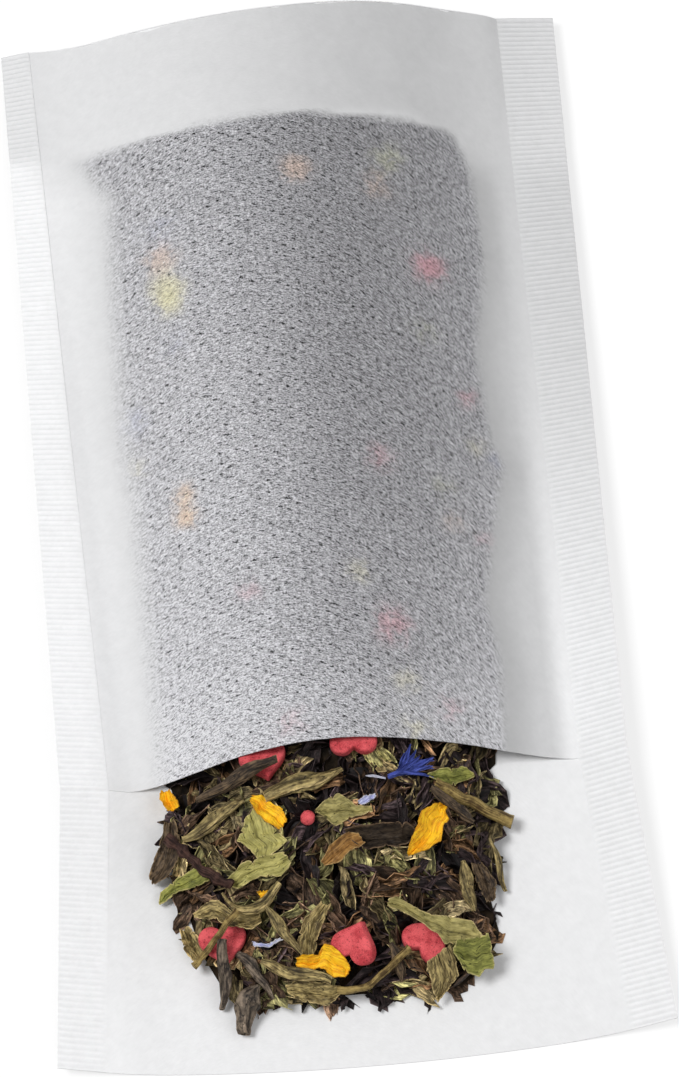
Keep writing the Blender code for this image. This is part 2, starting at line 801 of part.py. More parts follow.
def put_sugar(ground):
    """Pressed sugar hearts and one bead."""
    pink = material("pink sugar", SUGAR_PINK, 0.85)
    # name, x and distance from the mouth in mm; turn, heading of the tilt's axis and tilt in degrees
    hearts = (
        ("sugar_heart_lip_right", 1.6, -3.4, 180, 0, 0),
        ("sugar_heart_lip_left", -12.2, -1.0, 10, 180, 12),
        ("sugar_heart_left", -20.4, 26.0, 5, 0, 0),
        ("sugar_heart_front", -0.2, 28.2, 150, 300, 33),
        ("sugar_heart_right", 10.2, 28.0, 137, 0, 0),
    )
    for name, x, out, *angles in hearts:
        verts, faces = heart(HEART_WIDTH, HEART_THICKNESS)
        turn, tilt_axis, tilt = (math.radians(angle) for angle in angles)
        verts = placed(verts, x * MM, out * MM, turn, tilt_axis, tilt)
        put(ground, name, (verts, faces), pink)
    verts, faces = bead(BEAD_SIZE)
    put(ground, "sugar_bead", (placed(verts, -6.3 * MM, 9.3 * MM, 0), faces), pink)


def put_petals(ground):
    """Yellow, lilac and tan petals and one cornflower floret."""
    yellow = material("yellow petal", PETAL_YELLOW, 0.8)
    blue = material("cornflower", CORNFLOWER_BLUE, 0.8)
    lilac = material("lilac petal", LILAC, 0.8)
    tan = material("tan petal", PETAL_TAN, 0.8)
    blades = (
        ("yellow_petal_lip", [(-27.4, 0.6), (-26.6, 2.6), (-25.8, 4.0)], [2.0, 3.4, 2.2], 0.5, yellow),
        ("yellow_petal_left", [(-14.2, 4.6), (-12.2, 7.4), (-10.0, 10.6)], [1.6, 3.0, 2.2], 0.3, yellow),
        ("yellow_petal_right", [(8.4, 15.9), (10.9, 13.4), (13.6, 10.7), (14.9, 8.3)],
         [0.8, 3.6, 4.0, 1.0], 0.6, yellow),
        ("yellow_petal_front", [(-9.6, 31.2), (-6.2, 30.4), (-2.8, 31.6)], [1.6, 3.6, 2.6], 0.6, yellow),
        ("yellow_petal_crumb", [(-14.4, 19.4), (-13.2, 19.8)], [1.0, 1.0], 0.1, yellow),
        ("cornflower_floret", [(6.3, 3.7), (8.6, 3.4), (12.2, 0.9)], [0.6, 1.6, 4.8], 0.7, blue),
        ("lilac_petal_middle", [(1.6, 8.2), (4.2, 6.8)], [1.4, 0.6], 0.2, lilac),
        ("lilac_petal_left", [(-15.8, 26.8), (-12.6, 26.8)], [0.9, 0.5], 0.2, lilac),
        ("tan_petal", [(-4.4, 16.4), (-1.7, 14.3), (1.3, 13.2)], [2.2, 3.4, 2.6], 0.7, tan),
    )
    for name, path, widths, cup, finish in blades:
        put(ground, name, blade(path, widths, cup), finish)


def put_leaves(ground):
    """Flat, broken and half-curled leaves, the large ones that show."""
    green = material("green leaf", LEAF_GREEN, 0.75)
    olive = material("olive leaf", LEAF_OLIVE, 0.75)
    brown = material("brown leaf", LEAF_BROWN, 0.75)
    blades = (
        ("green_leaf_square", [(-15.0, 7.9), (-13.2, 11.1), (-11.5, 14.6)], [3.2, 6.6, 4.2], 0.4, green),
        ("green_leaf_folded", [(-19.3, 17.6), (-15.4, 16.4), (-11.0, 15.8)], [1.6, 3.6, 4.6], 0.5, green),
        ("green_leaf_centre", [(-5.0, 8.4), (-1.3, 7.9), (3.4, 9.0)], [1.8, 5.0, 1.6], 0.5, green),
        ("green_leaf_mouth", [(13.5, 2.9), (16.6, 2.7), (19.9, 2.2)], [1.4, 2.7, 2.3], 0.4, green),
        ("green_leaf_front", [(4.6, 23.2), (8.6, 24.7), (12.9, 27.3), (18.2, 29.0)],
         [1.6, 3.0, 5.6, 2.6], 0.5, green),
        ("green_leaf_corner", [(14.4, 32.2), (16.9, 31.9), (19.4, 31.6)], [3.2, 4.8, 3.6], 0.4, green),
        ("green_leaf_left_tip", [(-29.6, 17.8), (-26.3, 15.9), (-21.6, 15.0)], [0.8, 3.0, 2.6], 0.5, green),
        ("olive_leaf_front", [(12.4, 30.6), (11.6, 33.4), (10.4, 37.1)], [3.2, 4.6, 0.8], 0.5, olive),
        ("olive_leaf_left", [(-26.6, 22.8), (-25.8, 25.6), (-24.0, 28.2)], [2.0, 3.0, 1.2], 0.7, olive),
        ("olive_leaf_heart", [(-24.0, 21.2), (-20.3, 22.2), (-15.6, 24.9)], [1.2, 3.8, 1.6], 0.5, olive),
        ("olive_leaf_base", [(-11.4, 33.7), (-8.4, 34.3), (-5.0, 33.6)], [1.4, 3.4, 1.6], 0.4, olive),
        ("brown_leaf_left", [(-27.2, 7.4), (-28.2, 10.6), (-30.0, 14.0)], [2.2, 4.0, 1.6], 0.6, brown),
        ("brown_leaf_cup", [(1.6, 12.8), (5.2, 14.4), (9.2, 14.4)], [2.2, 3.8, 2.0], 0.8, brown),
        ("brown_leaf_long", [(-5.8, 22.5), (-7.1, 25.6), (-8.0, 28.6)], [1.6, 3.6, 2.0], 0.6, brown),
        ("brown_leaf_right", [(18.4, 17.0), (19.8, 19.6), (20.2, 22.4)], [2.0, 3.0, 1.4], 0.6, brown),
    )
    for name, path, widths, cup, finish in blades:
        put(ground, name, blade(path, widths, cup), finish)


def put_rolled_leaves(ground):
    """Twisted whole leaves, dark and olive."""
    olive = material("olive leaf", LEAF_OLIVE, 0.75)
    black = material("black leaf", LEAF_BLACK, 0.7)
    rolls = (
        ("rolled_leaf_mouth", [(-11.6, 4.0), (-7.0, 3.4), (-3.0, 3.2), (0.2, 1.8)], 2.2, olive),
        ("rolled_leaf_upper_left", [(-24.4, 9.4), (-21.0, 8.0), (-17.6, 6.2), (-15.6, 5.8)], 1.8, olive),
        ("rolled_leaf_ridge", [(-20.0, 19.6), (-17.6, 22.2), (-14.2, 22.0), (-11.4, 18.9)], 1.6, olive),
        ("rolled_leaf_arm", [(-14.0, 22.4), (-11.4, 26.2), (-8.8, 30.0)], 1.4, olive),
        ("rolled_leaf_right_rim", [(21.3, 12.8), (22.2, 16.5), (22.9, 20.4)], 1.2, olive),
        ("rolled_leaf_right", [(16.6, 16.4), (17.0, 20.4), (17.4, 24.0)], 1.6, olive),
        ("rolled_leaf_base_left", [(-15.0, 30.0), (-10.8, 31.9), (-4.9, 34.2)], 1.7, olive),
        ("rolled_leaf_dark_left", [(-22.9, 3.6), (-17.6, 2.6), (-13.2, 1.3), (-10.2, 0.5)], 1.4, black),
        ("rolled_leaf_dark_lower", [(-18.6, 27.8), (-15.8, 30.7), (-13.6, 34.8)], 1.6, black),
        ("rolled_leaf_grey_left", [(-20.3, 26.4), (-20.6, 30.6), (-21.4, 35.4)], 1.7, black),
        ("rolled_leaf_grey_base", [(-16.0, 33.6), (-17.7, 35.4), (-18.2, 39.1)], 2.8, black),
        ("rolled_leaf_dark_right", [(12.6, 6.6), (16.0, 9.4), (18.6, 11.4)], 1.6, black),
        ("rolled_leaf_dark_front", [(4.8, 28.4), (5.6, 31.2), (5.8, 34.0)], 1.6, black),
    )
    for name, path, thick, finish in rolls:
        put(ground, name, rolled(path, thick), finish)


def put_stems(ground):
    """Leaf stalks."""
    tan = material("tan stalk", STEM_TAN, 0.7)
    stems = (
        ("stem_right", [(13.7, 5.7), (18.5, 7.4), (24.7, 9.6)], 1.5),
        ("stem_loop", [(-4.0, 34.6), (0.1, 34.6), (3.6, 32.6), (7.2, 29.8)], 0.9),
        ("stem_left", [(-28.0, 9.4), (-24.5, 12.9), (-22.2, 15.6), (-19.2, 18.4)], 0.9),
        ("stem_heart", [(-25.1, 28.9), (-21.6, 26.3), (-18.0, 23.2)], 0.9),
    )
    for name, path, thick in stems:
        put(ground, name, stem(path, thick), tan)


def main():
    """Build the bag, the tea and the pieces that lie on it."""
    clear_scene()
    build_filter_bag()
    ground = Ground()
    ground.add(build_tea())
    put_sugar(ground)
    put_leaves(ground)
    put_petals(ground)
    put_rolled_leaves(ground)
    put_stems(ground)


main()
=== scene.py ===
"""Looks of a paper tea filter bag that lies open on its back, full of a loose tea blend.

The paper is one folded strip, worked out as a grid of points. The spilled blend is a
dark bed, several hundred loose leaves, and the larger leaves, petals and sugar pieces
that lie on top. Lengths are in metres: X is the width, +Y the closed end, +Z is up.
"""

import math

import bpy
import numpy as np
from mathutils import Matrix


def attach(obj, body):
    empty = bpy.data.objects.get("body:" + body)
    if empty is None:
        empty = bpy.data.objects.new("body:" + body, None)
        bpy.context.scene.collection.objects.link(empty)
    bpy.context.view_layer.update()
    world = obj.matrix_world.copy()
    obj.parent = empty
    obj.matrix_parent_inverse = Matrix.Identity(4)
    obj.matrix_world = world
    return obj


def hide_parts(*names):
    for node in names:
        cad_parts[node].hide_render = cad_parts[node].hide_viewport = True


MM = 0.001

# Paper, as in the solid
PAPER = 0.15 * MM
BAG_WIDTH = 92.6 * MM
POCKET_LENGTH = 132.0 * MM
FLAP_LENGTH = 42.9 * MM
FLAP_BOW = 2.7 * MM
GUSSET_DEPTH = 19.0 * MM
LAYER_FILM = 0.04 * MM
EDGE_HEIGHT = (2.0 * MM, 6.0 * MM, 3.0 * MM)
SEAL_HEIGHT_LEFT = (3.2 * MM, 3.7 * MM, 1.2 * MM)
SEAL_HEIGHT_RIGHT = (3.2 * MM, 1.3 * MM, 1.2 * MM)
CURL_REACH = 12.0 * MM
MOUTH_DRAW = 2.9 * MM
ARCH_HEIGHT = 12.6 * MM
ARCH_POWER_CLOSED_LEFT = 1.05
ARCH_POWER_CLOSED_RIGHT = 0.8
ARCH_POWER_MOUTH = 1.6
ARCH_CREST_CLOSED = 6.5 * MM
ARCH_CREST_MOUTH = -2.0 * MM
ARCH_INSET_MOUTH_LEFT = 3.0 * MM
LIP_PULL = 2.3 * MM
LIP_REACH = 40.0 * MM
SEAL_WIDTH = 7.3 * MM
SEAL_SKEW = 2.6 * MM
CRIMP_PITCH = 0.9 * MM
CRIMP_HEIGHT = 0.19 * MM

# Where the front sheet starts to rise before the gusset's fold, and over what length
GUSSET_LEAD = 7.0 * MM
GUSSET_EASE = 8.0 * MM

# Tea, as in the solid
GAP = 0.35 * MM
SLACK = 0.45 * MM
TEA_EDGE = 1.2 * MM
LIP_ROOM = 3.1 * MM
LIP_ROOM_DEPTH = 9.0 * MM
LIP_ROOM_FADE = 10.0 * MM
SPILL_LENGTH = 37.0 * MM
SPILL_HEIGHT = 9.0 * MM
SPILL_TOE = 1.5 * MM
SPILL_RISE = 9.25 * MM
SLOPE_POWER = 0.8
TOE_POWER = 6
SIDE_POWER = 2.4
DOME_POWER = 0.7
RIM_POWER = 8
TEA_MARGINS = np.array([
    (0.0, 9.0, 12.3), (0.2, 9.5, 10.0), (0.5, 9.5, 8.0), (0.8, 8.5, 7.5), (1.0, 7.5, 7.5)])
SPILL_MARGINS = np.array([
    (0.0, 9.0, 12.3), (6.0, 7.5, 11.8), (13.0, 8.0, 13.5), (20.0, 10.5, 15.5),
    (27.0, 13.0, 15.0), (32.0, 16.0, 18.5), (35.0, 20.0, 23.5), (37.0, 27.0, 31.0)])

Y_CLOSED = (POCKET_LENGTH + FLAP_LENGTH + FLAP_BOW) / 2
Y_MOUTH = Y_CLOSED - POCKET_LENGTH
Y_GUSSET = Y_CLOSED - GUSSET_DEPTH

# Where the tea shows through the front sheet, in mm: its left and right edges as
# (y, x), its upper edge along the gusset's fold as (x, y), and X of the fold beside it
SHADOW_LEFT = np.array([
    (-45.0, -28.5), (-28.4, -28.9), (-11.6, -29.4), (5.7, -29.9), (16.4, -31.1),
    (41.2, -30.9), (59.4, -30.6), (67.8, -35.1)])
SHADOW_RIGHT = np.array([
    (-45.0, 23.7), (-27.2, 24.8), (-17.4, 23.4), (-1.7, 26.6), (6.4, 28.7), (10.5, 27.0),
    (26.1, 26.1), (42.7, 29.0), (53.6, 28.8), (60.0, 28.0), (64.8, 26.4)])
SHADOW_TOP = np.array([
    (-46.0, 67.4), (-35.1, 67.8), (-30.8, 68.6), (-14.2, 69.5), (-3.0, 69.5), (3.0, 69.1),
    (8.0, 68.3), (13.0, 67.8), (18.6, 67.6), (26.8, 66.5), (29.9, 64.0), (46.0, 60.0)])
FOLD_RIGHT = 34.4

# The web of the paper: where its fibres crest, how they bend, the lattice of thin spots, and
# how fast the dash in each spot fades along and across the fibres
FIBRE_CREST = 12.0 * MM
FIBRE_BEND = 17.0
LATTICE_STEP = (1.45 * MM, 0.94 * MM)
LATTICE_DROP = 1.86 * MM
DASH_FADE = (5.5, 38.0)

# Sugar hearts, and how thick flat, rolled and loose leaves and the floret's lobes are
HEART_WIDTH = 7.4 * MM
HEART_THICKNESS = 2.1 * MM
HEART_EDGE = 0.62 * MM
HEART_ROUNDNESS = 0.28
BLADE_THICK = 0.14 * MM
ROLL_THICK = 0.12 * MM
LOOSE_THICK = 0.12 * MM
LOBE_THICK = 0.09 * MM

# Squares of the plan that tell how high loose leaves may lie: size, first corner and number
SQUARE = 0.4 * MM
SQUARES_CORNER = (-46 * MM, Y_MOUTH - 48 * MM)
SQUARES = (240, 150)

# The photograph's camera, with its turn in degrees, and the level of the light all round
CAMERA_LENS = 128.738
CAMERA_PLACE = (-18.269 * MM, -251.826 * MM, 556.849 * MM)
CAMERA_TURN = (24.2, 0.0, -4.81)
SURROUND = 0.30

# Colours, linear
WHITE = (0.875, 0.877, 0.885)
LIGHTEST_WEB = (0.80, 0.80, 0.82)
SUGAR_DEEP = (0.46, 0.034, 0.045)
SUGAR_PALE = (0.86, 0.132, 0.145)
PEACH = (0.66, 0.46, 0.34)
STRAW = (0.68, 0.63, 0.38)
LIME = (0.46, 0.47, 0.27)
ROSE = (0.62, 0.25, 0.29)
SKY = (0.27, 0.31, 0.50)
RUST = (0.72, 0.44, 0.22)

# Coloured pieces seen faintly through the front sheet: x, y, reach in mm, colour, strength
HINTS = (
    (-26.6, 80.0, 5.0, PEACH, 0.16), (0.6, 58.1, 2.6, PEACH, 0.55), (15.7, 59.5, 2.8, LIME, 0.40),
    (13.6, 54.4, 2.6, PEACH, 0.35), (-22.0, 51.3, 3.2, SKY, 0.22), (-22.3, 46.2, 2.8, PEACH, 0.55),
    (-21.5, 40.6, 3.0, STRAW, 0.80), (-21.2, 37.4, 2.2, STRAW, 0.55), (20.8, 40.2, 3.0, ROSE, 0.62),
    (-21.1, 30.6, 2.6, SKY, 0.20), (19.0, 28.6, 2.4, LIME, 0.25), (24.9, 17.5, 2.0, ROSE, 0.35),
    (-28.4, 18.5, 2.6, SKY, 0.30), (25.9, 9.1, 2.0, STRAW, 0.30), (9.6, 5.8, 2.4, ROSE, 0.34),
    (28.1, 7.2, 2.0, SKY, 0.30), (-28.4, 10.7, 1.8, STRAW, 0.35), (19.5, 1.8, 2.2, LIME, 0.28),
    (-21.3, 4.0, 2.0, RUST, 0.55), (-21.1, 0.2, 2.0, RUST, 0.60), (20.7, -4.4, 2.0, PEACH, 0.28),
    (25.5, -7.1, 2.0, ROSE, 0.25), (4.9, -13.7, 2.2, STRAW, 0.30), (-12.3, -14.8, 2.2, ROSE, 0.28),
    (9.1, -22.6, 3.2, ROSE, 0.45), (10.6, -31.8, 2.2, STRAW, 0.35), (17.2, -35.9, 2.4, ROSE, 0.28),
    (-7.6, -37.5, 2.6, ROSE, 0.25), (11.3, -39.4, 2.2, STRAW, 0.40))

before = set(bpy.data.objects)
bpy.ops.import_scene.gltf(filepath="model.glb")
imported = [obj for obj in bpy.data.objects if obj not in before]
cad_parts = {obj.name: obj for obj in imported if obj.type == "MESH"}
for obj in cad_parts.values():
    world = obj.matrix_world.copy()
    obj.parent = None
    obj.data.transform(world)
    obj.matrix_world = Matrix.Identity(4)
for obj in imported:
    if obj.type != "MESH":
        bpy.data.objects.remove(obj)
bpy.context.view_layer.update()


# Arithmetic on arrays

def smooth(t):
    """Ease from 0 to 1: 3t^2 - 2t^3."""
    t = np.clip(t, 0, 1)
    return t * t * (3 - 2 * t)


def unit(vectors):
    """Vectors divided by their length."""
    return vectors / np.maximum(np.linalg.norm(vectors, axis=-1, keepdims=True), 1e-12)


def waviness(x, y, span, seed, count=14):
    """Uneven ground from -1 to 1: a sum of sine waves about one span long, with
    directions and phases drawn at random."""
    rng = np.random.default_rng(seed)
    total = np.zeros(np.broadcast(x, y).shape)
    headings, sizes, phases = (
        rng.uniform(low, high, count) for low, high in ((0, math.pi), (0.6, 2.0), (0, 2 * math.pi)))
    for heading, size, phase in zip(headings, sizes, phases):
        step = 2 * math.pi * size / span
        total += np.sin(step * (x * math.cos(heading) + y * math.sin(heading)) + phase)
    return total / math.sqrt(count * 2)


def through(points, t):
    """Points on a smooth curve through the given ones (a Catmull-Rom spline), at t from 0 to 1."""
    points = np.asarray(points, float)
    last = len(points) - 1
    k = np.clip((t * last).astype(int), 0, last - 1)
    f = (t * last - k)[:, None]
    a, b = points[np.maximum(k - 1, 0)], points[k]
    c, d = points[k + 1], points[np.minimum(k + 2, last)]
    return 0.5 * (2 * b + (c - a) * f + (2 * a - 5 * b + 4 * c - d) * f ** 2
                  + (3 * b - a - 3 * c + d) * f ** 3)


# The lie of the paper

def along(y):
    """Share of the pocket's length from the mouth (0) to the closed end (1)."""
    return np.clip((y - Y_MOUTH) / POCKET_LENGTH, 0, 1)


def between(closed, mouth, flap, y):
    """A value that runs evenly from the closed end to the mouth to the flap's end."""
    down = np.clip((Y_MOUTH - y) / FLAP_LENGTH, 0, 1)
    return mouth + (closed - mouth) * along(y) + (flap - mouth) * down


def half_width(y):
    """Half of the bag's width, drawn in at the mouth."""
    return BAG_WIDTH / 2 - between(0.0, MOUTH_DRAW, 0.0, y)


def seal_left(y):
    """X of the left seam's inner edge."""
    return -half_width(y) + SEAL_WIDTH - SEAL_SKEW * along(y)


def seal_right(y):
    """X of the right seam's inner edge."""
    return half_width(y) - SEAL_WIDTH - SEAL_SKEW * along(y)


def back_height(x, y):
    """Underside of the back sheet: flat, rising to the seams and on to its edges."""
    left = x < 0
    seal = np.where(left, between(*SEAL_HEIGHT_LEFT, y), between(*SEAL_HEIGHT_RIGHT, y))
    seal_edge = np.where(left, -seal_left(y), seal_right(y))
    inward = seal_edge - np.abs(x)
    share = -inward / (half_width(y) - seal_edge)
    curled = seal * np.clip(1 - inward / CURL_REACH, 0, 1) ** 2
    return np.where(inward >= 0, curled, seal + (between(*EDGE_HEIGHT, y) - seal) * share)


def across(x, y):
    """Place across the arch: 0 on its crest, -1 and 1 where it starts at the seams."""
    crest = between(ARCH_CREST_CLOSED, ARCH_CREST_MOUTH, ARCH_CREST_MOUTH, y)
    inset = between(0.0, ARCH_INSET_MOUTH_LEFT, ARCH_INSET_MOUTH_LEFT, y)
    side = np.where(x < crest, crest - seal_left(y) - inset, seal_right(y) - crest)
    return np.clip((x - crest) / side, -1, 1)


def arch(x, y):
    """Room that the filling opens between the two sheets: (1 - place^2) to a power."""
    place = across(x, y)
    closed = np.where(place < 0, ARCH_POWER_CLOSED_LEFT, ARCH_POWER_CLOSED_RIGHT)
    return ARCH_HEIGHT * (1 - place ** 2) ** between(closed, ARCH_POWER_MOUTH, ARCH_POWER_MOUTH, y)


def over_gusset(y):
    """0 where the front sheet lies on the back one, easing to 1 where the gusset is between."""
    return smooth((y - Y_GUSSET + GUSSET_LEAD) / GUSSET_EASE)


def layer_undersides(x, y):
    """Undersides of the four layers: back sheet, two gusset leaves, front sheet. Below the
    gusset's fold the two leaves are only a place, and the front sheet lies on the back one."""
    base = back_height(x, y)
    spare = arch(x, y)
    opened = np.clip((y - Y_GUSSET) / GUSSET_DEPTH, 0, 1)
    finger = LAYER_FILM + spare * (1 - opened) / 2
    wedge = LAYER_FILM + spare * opened
    leaf_a = base + PAPER + finger
    leaf_b = leaf_a + PAPER + wedge
    folded = leaf_b + PAPER + finger
    plain = base + PAPER + LAYER_FILM + spare
    return np.stack([base, leaf_a, leaf_b, plain + (folded - plain) * over_gusset(y)])


def flap_bow(x, y):
    """How far the flap's end bows out along Y: most in the middle of the end, 0 at the mouth."""
    return (-FLAP_BOW * np.clip((Y_MOUTH - y) / FLAP_LENGTH, 0, 1)
            * (1 - (x / half_width(y)) ** 2))


def lip_pull(x, y):
    """How far the filling pulls the front sheet back along Y: most on the arch's crest at the
    mouth, fading along the bag."""
    return LIP_PULL * np.clip(1 - (y - Y_MOUTH) / LIP_REACH, 0, 1) * (1 - across(x, y) ** 2)


def lip_line(x):
    """Y of the front sheet's cut edge at the mouth."""
    return Y_MOUTH + lip_pull(x, np.full_like(x, Y_MOUTH))


def front_underside(x, y):
    """Underside of the front sheet, with the pull of its lip allowed for."""
    return layer_undersides(x, np.maximum(y - lip_pull(x, y), Y_MOUTH))[3]


# The lie of the tea

def tea_sides(y):
    """Left and right edges of the tea at one place along the bag."""
    share = (y - Y_MOUTH) / (Y_GUSSET - Y_MOUTH)
    out = (Y_MOUTH - y) / MM
    left, right = (np.where(y >= Y_MOUTH,
                            np.interp(share, TEA_MARGINS[:, 0], TEA_MARGINS[:, n]),
                            np.interp(out, SPILL_MARGINS[:, 0], SPILL_MARGINS[:, n])) * MM
                   for n in (1, 2))
    return seal_left(y) + left, seal_right(y) - right


def flap_top(x, y):
    """Upper face of the back sheet and the flap."""
    return back_height(x, np.maximum(y, Y_MOUTH - FLAP_LENGTH)) + PAPER


def tea_height(x, y):
    """Top of the heap: under the front sheet in the pocket, and outside it a dome that
    falls along the flap and to its sides, each as 1 minus a power of the way out."""
    left, right = tea_sides(y)
    place = np.clip((x - left) / (right - left) * 2 - 1, -1, 1)
    low = flap_top(x, y) + GAP
    inner_y = np.maximum(y, Y_MOUTH)
    room = LIP_ROOM * (1 - smooth((inner_y - Y_MOUTH - LIP_ROOM_DEPTH) / LIP_ROOM_FADE))
    inside = back_height(x, inner_y) + PAPER + LAYER_FILM + arch(x, inner_y) - GAP - room - SLACK
    out = np.clip((Y_MOUTH - y) / SPILL_LENGTH, 0, 1)
    crown = SPILL_HEIGHT * (1 - out) ** SLOPE_POWER + SPILL_TOE * (1 - out ** TOE_POWER)
    outside = low + crown * (1 - np.abs(place) ** SIDE_POWER) ** DOME_POWER
    high = inside + (outside - inside) * smooth((Y_MOUTH - y) / SPILL_RISE)
    edge = low + TEA_EDGE
    return np.maximum(edge, edge + (high - edge) * (1 - np.abs(place) ** RIM_POWER))


# Meshes from grids

def outward(verts, quads, caps=()):
    """A closed shape with its faces turned over if they point inwards, which they do where its
    volume, a sum of triple products of the quads' corners about its middle, is negative."""
    a, b, c, d = (verts[quads[:, n]] - verts.mean(0) for n in range(4))
    volume = (np.cross(b, c) * a).sum() + (np.cross(c, d) * a).sum()
    faces = quads.tolist() + [cap.tolist() for cap in caps]
    return verts, faces if volume > 0 else [face[::-1] for face in faces]


def wall(upper, under):
    """Close the space between two like grids, or two like stacks of grids: the upper faces,
    the under faces turned over, and a rim from one grid's border to the other's."""
    rows, columns = upper.shape[-3:-1]
    upper, under = (g.reshape(-1, rows, columns, 3) for g in (upper, under))
    size = rows * columns
    index = np.arange(size).reshape(rows, columns)
    corners = index[:-1, :-1], index[1:, :-1], index[1:, 1:], index[:-1, 1:]
    top = np.stack(corners, -1).reshape(-1, 4)
    rim = np.concatenate([index[:-1, 0], index[-1, :-1], index[:0:-1, -1], index[0, :0:-1]])
    after = np.roll(rim, -1)
    side = np.stack([after, rim, rim + size, after + size], -1)
    quads = np.concatenate([top, top[:, ::-1] + size, side])
    starts = np.arange(len(upper)) * 2 * size
    verts = np.stack([upper, under], 1).reshape(-1, 3)
    return outward(verts, (quads + starts[:, None, None]).reshape(-1, 4))


def thicken(points, thickness):
    """A grid moved half a thickness each way along its normals."""
    normal = unit(np.cross(np.gradient(points, axis=-3), np.gradient(points, axis=-2)))
    return points + normal * thickness / 2, points - normal * thickness / 2


def skin(rings):
    """Close a stack of rings: quads round the sides and a face at each end."""
    index = np.arange(rings.shape[0] * rings.shape[1]).reshape(rings.shape[:2])
    after = np.roll(index, -1, axis=1)
    sides = np.stack([index[:-1], after[:-1], after[1:], index[1:]], -1).reshape(-1, 4)
    return outward(rings.reshape(-1, 3), sides, (index[0, ::-1], index[-1]))


def on_both_faces(values, grids=1):
    """Point values of one grid, or of many, once for each upper and each under face."""
    return {label: np.stack([v.reshape(grids, -1)] * 2, 1).ravel() for label, v in values.items()}


# How mesh values are kept: for 1, 3 or 4 numbers a point, the kind and the field they go in
VALUE_KINDS = {1: ("FLOAT", "value"), 3: ("FLOAT_VECTOR", "vector"), 4: ("FLOAT_COLOR", "color")}


def make_piece(name, shape, finish, stands_for=(), values=None, crease=50):
    """One mesh object from points and faces, with its finish, body and point values.
    Edges sharper than the crease, in degrees, stay sharp."""
    verts, faces = shape
    mesh = bpy.data.meshes.new(name)
    mesh.from_pydata(verts.tolist(), [], faces)
    for label, numbers in (values or {}).items():
        kind, field = VALUE_KINDS[numbers.size // len(verts)]
        layer = mesh.attributes.new(label, kind, "POINT")
        layer.data.foreach_set(field, numbers.astype(np.float32).ravel())
    mesh.shade_smooth()
    mesh.set_sharp_from_angle(angle=math.radians(crease))
    mesh.materials.append(finish)
    piece = bpy.data.objects.new(name, mesh)
    bpy.context.scene.collection.objects.link(piece)
    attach(piece, "root")
    if stands_for:
        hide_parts(*stands_for)
    return piece


def places_of(piece):
    """The points of an object's mesh."""
    points = np.zeros(len(piece.data.vertices) * 3)
    piece.data.vertices.foreach_get("co", points)
    return points.reshape(-1, 3)


# Finishes

class Number:
    """A socket of some nodes. Arithmetic on it adds Math nodes."""

    def __init__(self, nodes, socket):
        self.nodes = nodes
        self.socket = socket

    def __add__(self, other):
        return self.nodes.maths("ADD", self, other)

    def __sub__(self, other):
        return self.nodes.maths("SUBTRACT", self, other)

    def __rsub__(self, other):
        return self.nodes.maths("SUBTRACT", other, self)

    def __mul__(self, other):
        return self.nodes.maths("MULTIPLY", self, other)

    def __mod__(self, other):
        return self.nodes.maths("FLOORED_MODULO", self, other)

    __radd__ = __add__
    __rmul__ = __mul__


class Nodes:
    """A node tree and the ways to add to it."""

    def __init__(self, tree):
        self.tree = tree

    def node(self, kind, settings, inputs, output=0):
        """Add any node: its settings first, then the values or links of its sockets."""
        made = self.tree.nodes.new(kind)
        for label, setting in settings.items():
            setattr(made, label, setting)
        for label, value in inputs.items():
            self.feed(made.inputs[label], value)
        return Number(self, made.outputs[output])

    def feed(self, socket, value):
        """Link a socket to a Number, or set it to a plain value."""
        if isinstance(value, Number):
            self.tree.links.new(value.socket, socket)
        else:
            socket.default_value = value

    def maths(self, operation, *values):
        """A Math node on up to three numbers."""
        return self.node("ShaderNodeMath", {"operation": operation}, dict(enumerate(values)))

    def clamp(self, value):
        """A number kept between 0 and 1."""
        return self.node("ShaderNodeClamp", {}, {"Value": value})

    def ease(self, value, low, high):
        """0 below low, 1 above high, and a smooth step between them."""
        return self.node("ShaderNodeMapRange", {"interpolation_type": "SMOOTHSTEP"},
                         {"Value": value, "From Min": low, "From Max": high})

    def mix(self, factor, first, second, blend="MIX"):
        """Two colours mixed."""
        first, second = (c if isinstance(c, Number) else (*c, 1.0) for c in (first, second))
        return self.node("ShaderNodeMix", {"data_type": "RGBA", "blend_type": blend},
                         {0: factor, 6: first, 7: second}, 2)

    def scaled(self, colour, factor):
        """A colour made lighter or darker by a number."""
        return self.node("ShaderNodeVectorMath", {"operation": "SCALE"},
                         {0: colour, "Scale": factor}, "Vector")

    def seen(self):
        """1 for what the camera, a reflection or a glass sees, and 0 for what lights a piece."""
        camera, glossy, through_glass = (
            self.node("ShaderNodeLightPath", {}, {}, "Is %s Ray" % kind)
            for kind in ("Camera", "Glossy", "Transmission"))
        return self.clamp(camera + glossy + through_glass)


